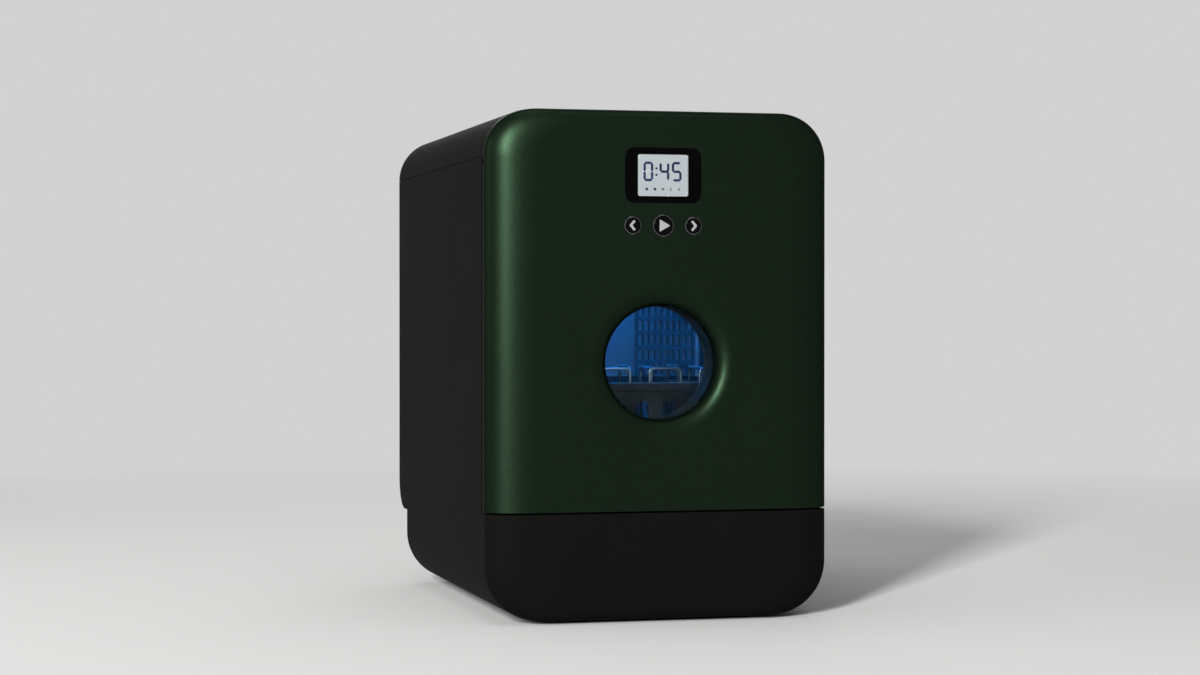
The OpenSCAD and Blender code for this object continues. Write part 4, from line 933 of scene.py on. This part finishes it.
def make_basket():
    """The rack's basket: walls with a row of arches, a slotted floor, a rim, side rails and their pins."""
    front, back = RACK_Y
    walls = tile("basket_shell", 2, (-RACK_X + 3, front + 3, RACK_LOW),
                 (RACK_X - 3, back - 3, RIM_Z - 8), 14, 8)
    round_rim(walls, 2, RACK_LOW, 2, 3)
    rim = tile("rim", 2, (-RACK_X, front, RIM_Z - 9), (RACK_X, back, RIM_Z), 17, 8, 1.4)
    combine(walls, rim, "UNION")
    for way in (-1, 1):
        low, high = sorted((way * (RACK_X - 4), way * RACK_X))
        combine(walls, block("rail", (low, front + 24, 176.4), (high, back - 24, 184)), "UNION")
        for y in (front + 60, back - 60):
            ends = (way * (RACK_X - 3.5), way * (RACK_X + 8.9))
            profile = [(0, ends[0]), (3.2, ends[0]), (3.2, ends[1] - way * 0.5), (2.7, ends[1]), (0, ends[1])]
            pin = lathe("pin", profile, (0, y, 179.6), 0, 32)
            combine(walls, pin, "UNION")
    cut(walls, tile("inside", 2, (-RACK_X + 6, front + 6, RACK_LOW + 3),
                    (RACK_X - 6, back - 6, RIM_Z + 1), 11, 8))
    round_rim(walls, 2, RIM_Z, 0.9, 3)
    cut_row(walls, [tile("arch", 1, (i * 26 - 7.5, front - 5, RACK_LOW + 12),
                         (i * 26 + 7.5, back + 5, RIM_Z - 18), 7.4, 8) for i in range(-4, 5)])
    cut_row(walls, [tile("slot", 2, (i * 24 - 7, front + 22 + k * 42, RACK_LOW - 1),
                         (i * 24 + 7, front + 54 + k * 42, RACK_LOW + 4), 3, 2)
                    for i in range(-4, 5) for k in range(6)])
    fit(walls, "rack", "rack_grey", "basket_walls", "basket_rim", "basket_floor")


def make_wires():
    """Wire hoops: one across the front for each place, and two rows that run front to back."""
    front, low, high = RACK_Y[0], RACK_LOW + 3.2, RIM_Z + 13.4
    hoops = [((x, front + 16), (x + 32, front + 16)) for x in (-94, -42, 10, 62)]
    hoops += [((x, front + y), (x, front + y + 42)) for x in (-80, -28, 24, 76) for y in (59, 143)]
    runs = [[(*a, low), (*a, high), (*b, high), (*b, low)] for a, b in hoops]
    fit(tube("wire_loops", runs, 1.5, 5), "rack", "wire_silver", "wire_hoops", angle=50)


def make_cutlery():
    low, high = (96, 6.6, RACK_LOW + 3.1), (127.5, 102.6, RACK_LOW + 87)
    cup = tile("cutlery_cup", 2, low, high, 6, 6)
    for start, end in ((8.6, 53.6), (55.6, 100.6)):
        cut(cup, tile("cell", 2, (98, start, low[2] + 2), (125.5, end, high[2] + 1), 4, 6))
    round_rim(cup, 2, high[2], 0.7, 2)
    cut_row(cup, [tile("slot", 0, (90, 14.6 + k * 12, z), (134, 20.6 + k * 12, z + 22), 2.9, 4)
                  for k in range(7) for z in (low[2] + 14, low[2] + 44)])
    fit(cup, "rack", "rack_grey", "cutlery_basket")


make_basket()
make_wires()
make_cutlery()


# ---------------------------------------------------------------- lid, hoses, back and feet

def make_lid():
    """The fill lid: disc with a plug, a fine groove and a cut-in drop, and two ears on its pin."""
    top, seat = HIGH, LID_Z - 4
    profile = [(0, LID_Z), (28.5, LID_Z), (29, seat), (30.7, seat), (31.2, seat + 0.5),
               (31.2, LID_Z), (37.4, LID_Z), (38, LID_Z + 0.6), (38, top - 1.1), (37.7, top - 0.5),
               (37, top - 0.1), (36.2, top), (33.6, top), (33.2, top - 0.35), (32.8, top), (0, top)]
    lid = lathe("fill_lid_skin", profile, (0, PORT_Y, 0), 2, 144)
    for way in (-1, 1):
        ear = tile("ear", 0, (way * 8 - 5, PORT_Y + 33, top - 3.1),
                   (way * 8 + 5, LID_AXIS[0] + 2.1, top - 0.25), 1.3, 5)
        combine(lid, ear, "UNION")
    cut(lid, rod("pin_bore", 1.25, -20, 20, (0, *LID_AXIS), 0, 32))
    drop = [(0, 13.5)] + [(8.6 * math.cos(a), -3 + 8.6 * math.sin(a))
                          for a in (math.radians(28 - 236 * k / 28) for k in range(29))]
    cut(lid, slab("drop", [(x, PORT_Y + y, top - 0.4) for x, y in drop], (0, 0, 1)))
    fit(lid, "fill_lid", "casing_black", "fill_lid")


def make_hoses():
    rows = [(((-28, 52, 66), (-16, 52, 66), (-14, SUMP_Y + 76, 82), (-14, SUMP_Y + 54, 82)), 7.6),
            (((14, SUMP_Y + 54, 78), (14, SUMP_Y + 66, 78), (30, 32, 49), (42, 32, 49)), 6.2),
            (((78, 74, 49), (78, 112, 49), (20, 146, 58), (-42, 158, 40), (-42, 174, 40)), 6.2),
            (((-96, 165, 105), (-96, 165, 60)), 6.2)]
    pieces = [tube("hose", [run], radius, 7, 8) for run, radius in rows]
    fit(join(pieces, "hose_runs"), "body", "rubber_black", "water_hoses", angle=50)


def make_back():
    cover = tile("rear_panel", 1, (-127.7, 242.3, 127.3), (127.7, 244.6, 422.7), 11.7, 8, 0.5)
    combine(cover, tile("rear_plate", 1, (-136, 240.5, 119), (136, 242.4, 431), 14, 8), "UNION")
    cut_row(cover, [tile("louvre", 1, (x - 34, 239, 320 + i * 9), (x + 34, 247, 324 + i * 9), 1.9, 5)
                    for x in (-62, 62) for i in range(9)])
    seat = [(0, 239), (1.8, 239), (1.8, 244), (2.3, 244.7), (0, 244.7)]
    cut_row(cover, [lathe("screw_hole", seat, (x, 0, z), 1, 32)
                    for x in (-SCREW_X, SCREW_X) for z in SCREW_ZS])
    fit(cover, "body", "casing_black", "rear_cover")


def make_feet():
    spots_xy = [(x, y) for x in (-105.5, 105.5) for y in (-181.4, 162)]
    for i, (x, y) in enumerate(spots_xy):
        profile = [(0, 0.4), (7, 0.4), (7.6, 0), (11.6, 0), (12.5, 0.35), (13, 1.1), (13, FOOT_H),
                   (0, FOOT_H)]
        foot = lathe(f"foot_{i + 1}", profile, (x, y, 0), 2, 72)
        fit(foot, "body", "rubber_black", *(["feet"] if i == 0 else []))


make_lid()
make_hoses()
make_back()
make_feet()


# ---------------------------------------------------------------- tub, door liner and spray arm

def make_tub():
    tub = tile("tub_skin", 1, (-TUB_X - TUB_T, TUB_FRONT, TUB_LOW - TUB_T),
               (TUB_X + TUB_T, TUB_BACK + TUB_T, TUB_HIGH + TUB_T), TUB_R + TUB_T, 12)
    room = tile("room", 1, (-TUB_X, TUB_FRONT - 5, TUB_LOW), (TUB_X, TUB_BACK, TUB_HIGH), TUB_R, 12)
    round_rim(room, 1, TUB_BACK, 8, 5)
    round_rim(tub, 1, TUB_BACK + TUB_T, 8, 5)
    cut(tub, room)
    cut(tub, lathe("drain_hole", [(0, 100), (36, 100), (36, 109), (38, 110.2), (38, 112), (0, 112)],
                   (0, SUMP_Y, 0), 2, 96))
    fit(tub, "body", "tub_steel", "tub")


def make_grille():
    low_x, high_x, low_z, rows, bars, rise = 72, TUB_X - 8, 178, 10, 9, 16
    pitch = (high_x - low_x - 4) / bars
    grille = tile("grille_panel", 1, (low_x, TUB_BACK - 6, low_z),
                  (high_x, TUB_BACK - 0.1, low_z + rows * rise), 3, 4, 0.8)
    cut_row(grille, [tile("gap", 1, (low_x + 3.4 + i * pitch, TUB_BACK - 8, low_z + 3 + k * rise),
                          (low_x + 3.4 + (i + 0.62) * pitch, TUB_BACK + 2, low_z + k * rise + 15), 1.1, 2)
                     for i in range(bars) for k in range(rows)])
    fit(grille, "body", "grille_plastic", "back_grille")


def make_liner():
    inset = 4.3
    half, top = HALF_W - inset, HIGH - inset
    plate = block("liner_skin", (-half, DOOR_BACK - 3, DOOR_LOW + inset), (half, DOOR_BACK, top))
    round_long(plate, top, TOP_CORNER_R - inset, 20)
    plug = tile("plug", 1, (-140, DOOR_BACK - 1, 119), (140, PLUG_BACK, 423), 18, 10)
    round_rim(plug, 1, PLUG_BACK, 2.2, 4)
    combine(plate, plug, "UNION")
    hole = [(0, PLUG_BACK - 6), (WINDOW_R, PLUG_BACK - 6), (WINDOW_R, PLUG_BACK - 1.4),
            (WINDOW_R + 1.5, PLUG_BACK + 1), (0, PLUG_BACK + 1)]
    cut(plate, tile("hollow", 1, (-137, DOOR_BACK - 5, 122), (137, PLUG_BACK - 2.5, 420), 15, 10),
        lathe("window", hole, (0, 0, WINDOW_Z), 1, 144),
        block("hinge_slot", *ARM_ROOM),
        tile("grip", 1, (154, DOOR_BACK - 4, 198.5), (190, DOOR_BACK + 1, 298.5), 7, 8),
        block("striker_seat", (154, DOOR_BACK - 1.2, 340), (164, DOOR_BACK + 1, 380)))
    round_edges(plate, lambda c: all_at(c, 1, DOOR_BACK) and all(abs(p.x) > half - 0.2 for p in c), 0.5, 2)
    fit(plate, "door", "liner_plastic", "door_liner", angle=35)


def make_arm():
    z = 121
    hub = [(0, z), (16.4, z), (17, z + 0.6), (17, z + 7.2), (15.2, z + 9), (0, z + 9)]
    arm = lathe("spray_arm_skin", hub, (0, SUMP_Y, 0), 2, 72)
    blade = tile("blade", 2, (-113.8, SUMP_Y - 11, z + 1), (113.8, SUMP_Y + 11, z + 8), 10.9, 10, 2.2)
    nozzles = [lathe("nozzle", [(0, z + 4), (1.6, z + 4), (1.6, z + 7.4), (2.4, z + 9), (0, z + 9)],
                     (x, SUMP_Y, 0), 2, 24) for x in (-94, -74, -54, -34, 34, 54, 74, 94)]
    cut_row(blade, nozzles)
    take(blade)
    bpy.ops.transform.rotate(value=math.radians(-25), orient_axis="Z",
                             center_override=(0, SUMP_Y * MM, 0))
    settle(blade)
    combine(arm, blade, "UNION")
    cut(arm, rod("bore", 6.05, z - 1, z + 10, (0, SUMP_Y, 0), 2, 64))
    fit(arm, "spray_arm", "arm_grey", "spray_arm")


def make_seals():
    half, low, high, wide = TUB_X + 7, TUB_LOW - 1.4, TUB_HIGH + 7, 8
    seal = tile("door_seal", 1, (-half, DOOR_BACK + 0.3, low), (half, CASE_Y + 0.5, high), 26, 10, 0.5)
    cut(seal, tile("inside", 1, (wide - half, DOOR_BACK - 0.7, low + wide),
                   (half - wide, CASE_Y + 1.5, high - wide), 26 - wide, 10))
    fit(seal, "body", "rubber_black", "tub_seal")


make_tub()
make_grille()
make_liner()
make_arm()
make_seals()


# ---------------------------------------------------------------- front frame, runners and rear fittings

def make_frame():
    half, low, high = HALF_W - CASE_T, 96, HIGH - CASE_T
    frame_plate = block("front_frame_plate", (-half, CASE_Y + 0.5, low), (half, TUB_FRONT, high))
    round_long(frame_plate, high, TOP_CORNER_R - CASE_T, 20)
    cut(frame_plate, tile("opening", 1, (-TUB_X, CASE_Y - 2, TUB_LOW),
                          (TUB_X, TUB_FRONT + 2, TUB_HIGH), TUB_R, 12))
    round_rim(frame_plate, 1, CASE_Y + 0.5, 0.5, 2)
    cut(frame_plate, block("catch_slot", (154, CASE_Y - 1, 340), (164, TUB_FRONT + 1, 380)),
        block("arm_slot", (-167.2, CASE_Y - 1, 437.8), (-157.3, TUB_FRONT + 1, 442.2)))
    fit(frame_plate, "body", "frame_plastic", "front_frame")


def make_runners():
    sides = []
    for way in (-1, 1):
        parts = []
        for inner, low, high in ((134.4, 174, 176), (145, 175, 188)):
            ends = sorted((way * inner, way * TUB_X))
            parts.append(block("runner", (ends[0], -169.4, low), (ends[1], 108, high)))
        runner = combine(parts[0], parts[1], "UNION")
        round_edges(runner, lambda c: not near(c[0].y, c[1].y), 0.5, 2)
        sides.append(runner)
    fit(join(sides, "runner_rails"), "body", "tub_steel", "rack_runners")


def make_fittings():
    """The rear connections: threaded water inlet, barbed drain spigot and mains inlet with three pins."""
    collar = BASE_BACK + 3
    thread = []
    for k in range(8):
        y = collar + 2.2 + k * 1.6
        thread += [(12.3, y), (13.2, y + 0.55), (13.2, y + 0.8), (12.3, y + 1.35)]
    inlet = [(0, FLANGE_Y), (16.2, FLANGE_Y), (16.2, FLANGE_Y + 2), (13.2, FLANGE_Y + 2), (13.2, BASE_BACK),
             (16.2, BASE_BACK), (16.2, collar - 0.6), (15.6, collar), (12.3, collar), *thread,
             (11.8, BASE_BACK + 19), (9.6, BASE_BACK + 19), (9, BASE_BACK + 18.4), (9, BASE_BACK + 2),
             (0, BASE_BACK + 2)]
    fit(lathe("inlet_thread", inlet, INLET, 1), "body", "tank_white", "inlet_connector")
    barbs = []
    for k in range(5):
        y = collar + 3 + k * 5.2
        barbs += [(9.1, y), (10, y + 0.4), (10, y + 1.2), (9.1, y + 5)]
    spigot = [(0, BASE_BACK - 22), (10, BASE_BACK - 22), (10, FLANGE_Y), (14, FLANGE_Y), (14, FLANGE_Y + 2),
              (10, FLANGE_Y + 2), (10, BASE_BACK), (14, BASE_BACK), (14, collar - 0.5), (13.5, collar),
              (9.1, collar), *barbs, (8.6, BASE_BACK + 33), (7.7, BASE_BACK + 33), (7.5, BASE_BACK + 32.6),
              (7.5, BASE_BACK - 18), (0, BASE_BACK - 18)]
    fit(lathe("drain_barbs", spigot, SPIGOT, 1), "body", "pump_plastic", "drain_spigot")
    socket = tile("mains_socket", 1, (76, BASE_BACK, 30), (116, BASE_BACK + 2.5, 62), 4, 6, 0.6)
    shell = tile("shell", 1, (80.3, BASE_BACK - 24, 34.3), (111.7, BASE_BACK + 1, 57.7), 2.7, 4)
    combine(socket, shell, "UNION")
    combine(socket, tile("clip", 1, (76, FLANGE_Y, 30), (116, FLANGE_Y + 2, 62), 4, 6), "UNION")
    cut(socket, tile("well", 1, (83.8, BASE_BACK - 16, 37.6), (108.2, BASE_BACK + 4, 54.4), 2, 4))
    for x, z in ((-7, 3), (0, 6), (7, 3)):
        pin = tile("pin", 1, (95 + x, BASE_BACK - 17, 38 + z), (97 + x, BASE_BACK - 2, 42 + z), 0.5, 2)
        combine(socket, pin, "UNION")
    fit(socket, "body", "frame_plastic", "mains_inlet")


def make_screws():
    screws = []
    profile = [(0, 238.6), (1.2, 238.6), (1.6, 239.2), (1.6, 244.5), (3.4, 244.6), (3.2, 244.85),
               (2.4, BACK_Y), (0, BACK_Y)]
    for x in (-SCREW_X, SCREW_X):
        for z in SCREW_ZS:
            screw = lathe("screw", profile, (x, 0, z), 1, 40)
            for wide, tall in ((0.4, 2), (2, 0.4)):
                cut(screw, block("slot", (x - wide, 244.1, z - tall), (x + wide, BACK_Y + 1, z + tall)))
            screws.append(screw)
    fit(join(screws, "cover_screws"), "body", "hinge_steel", "rear_screws")


make_frame()
make_runners()
make_fittings()
make_screws()
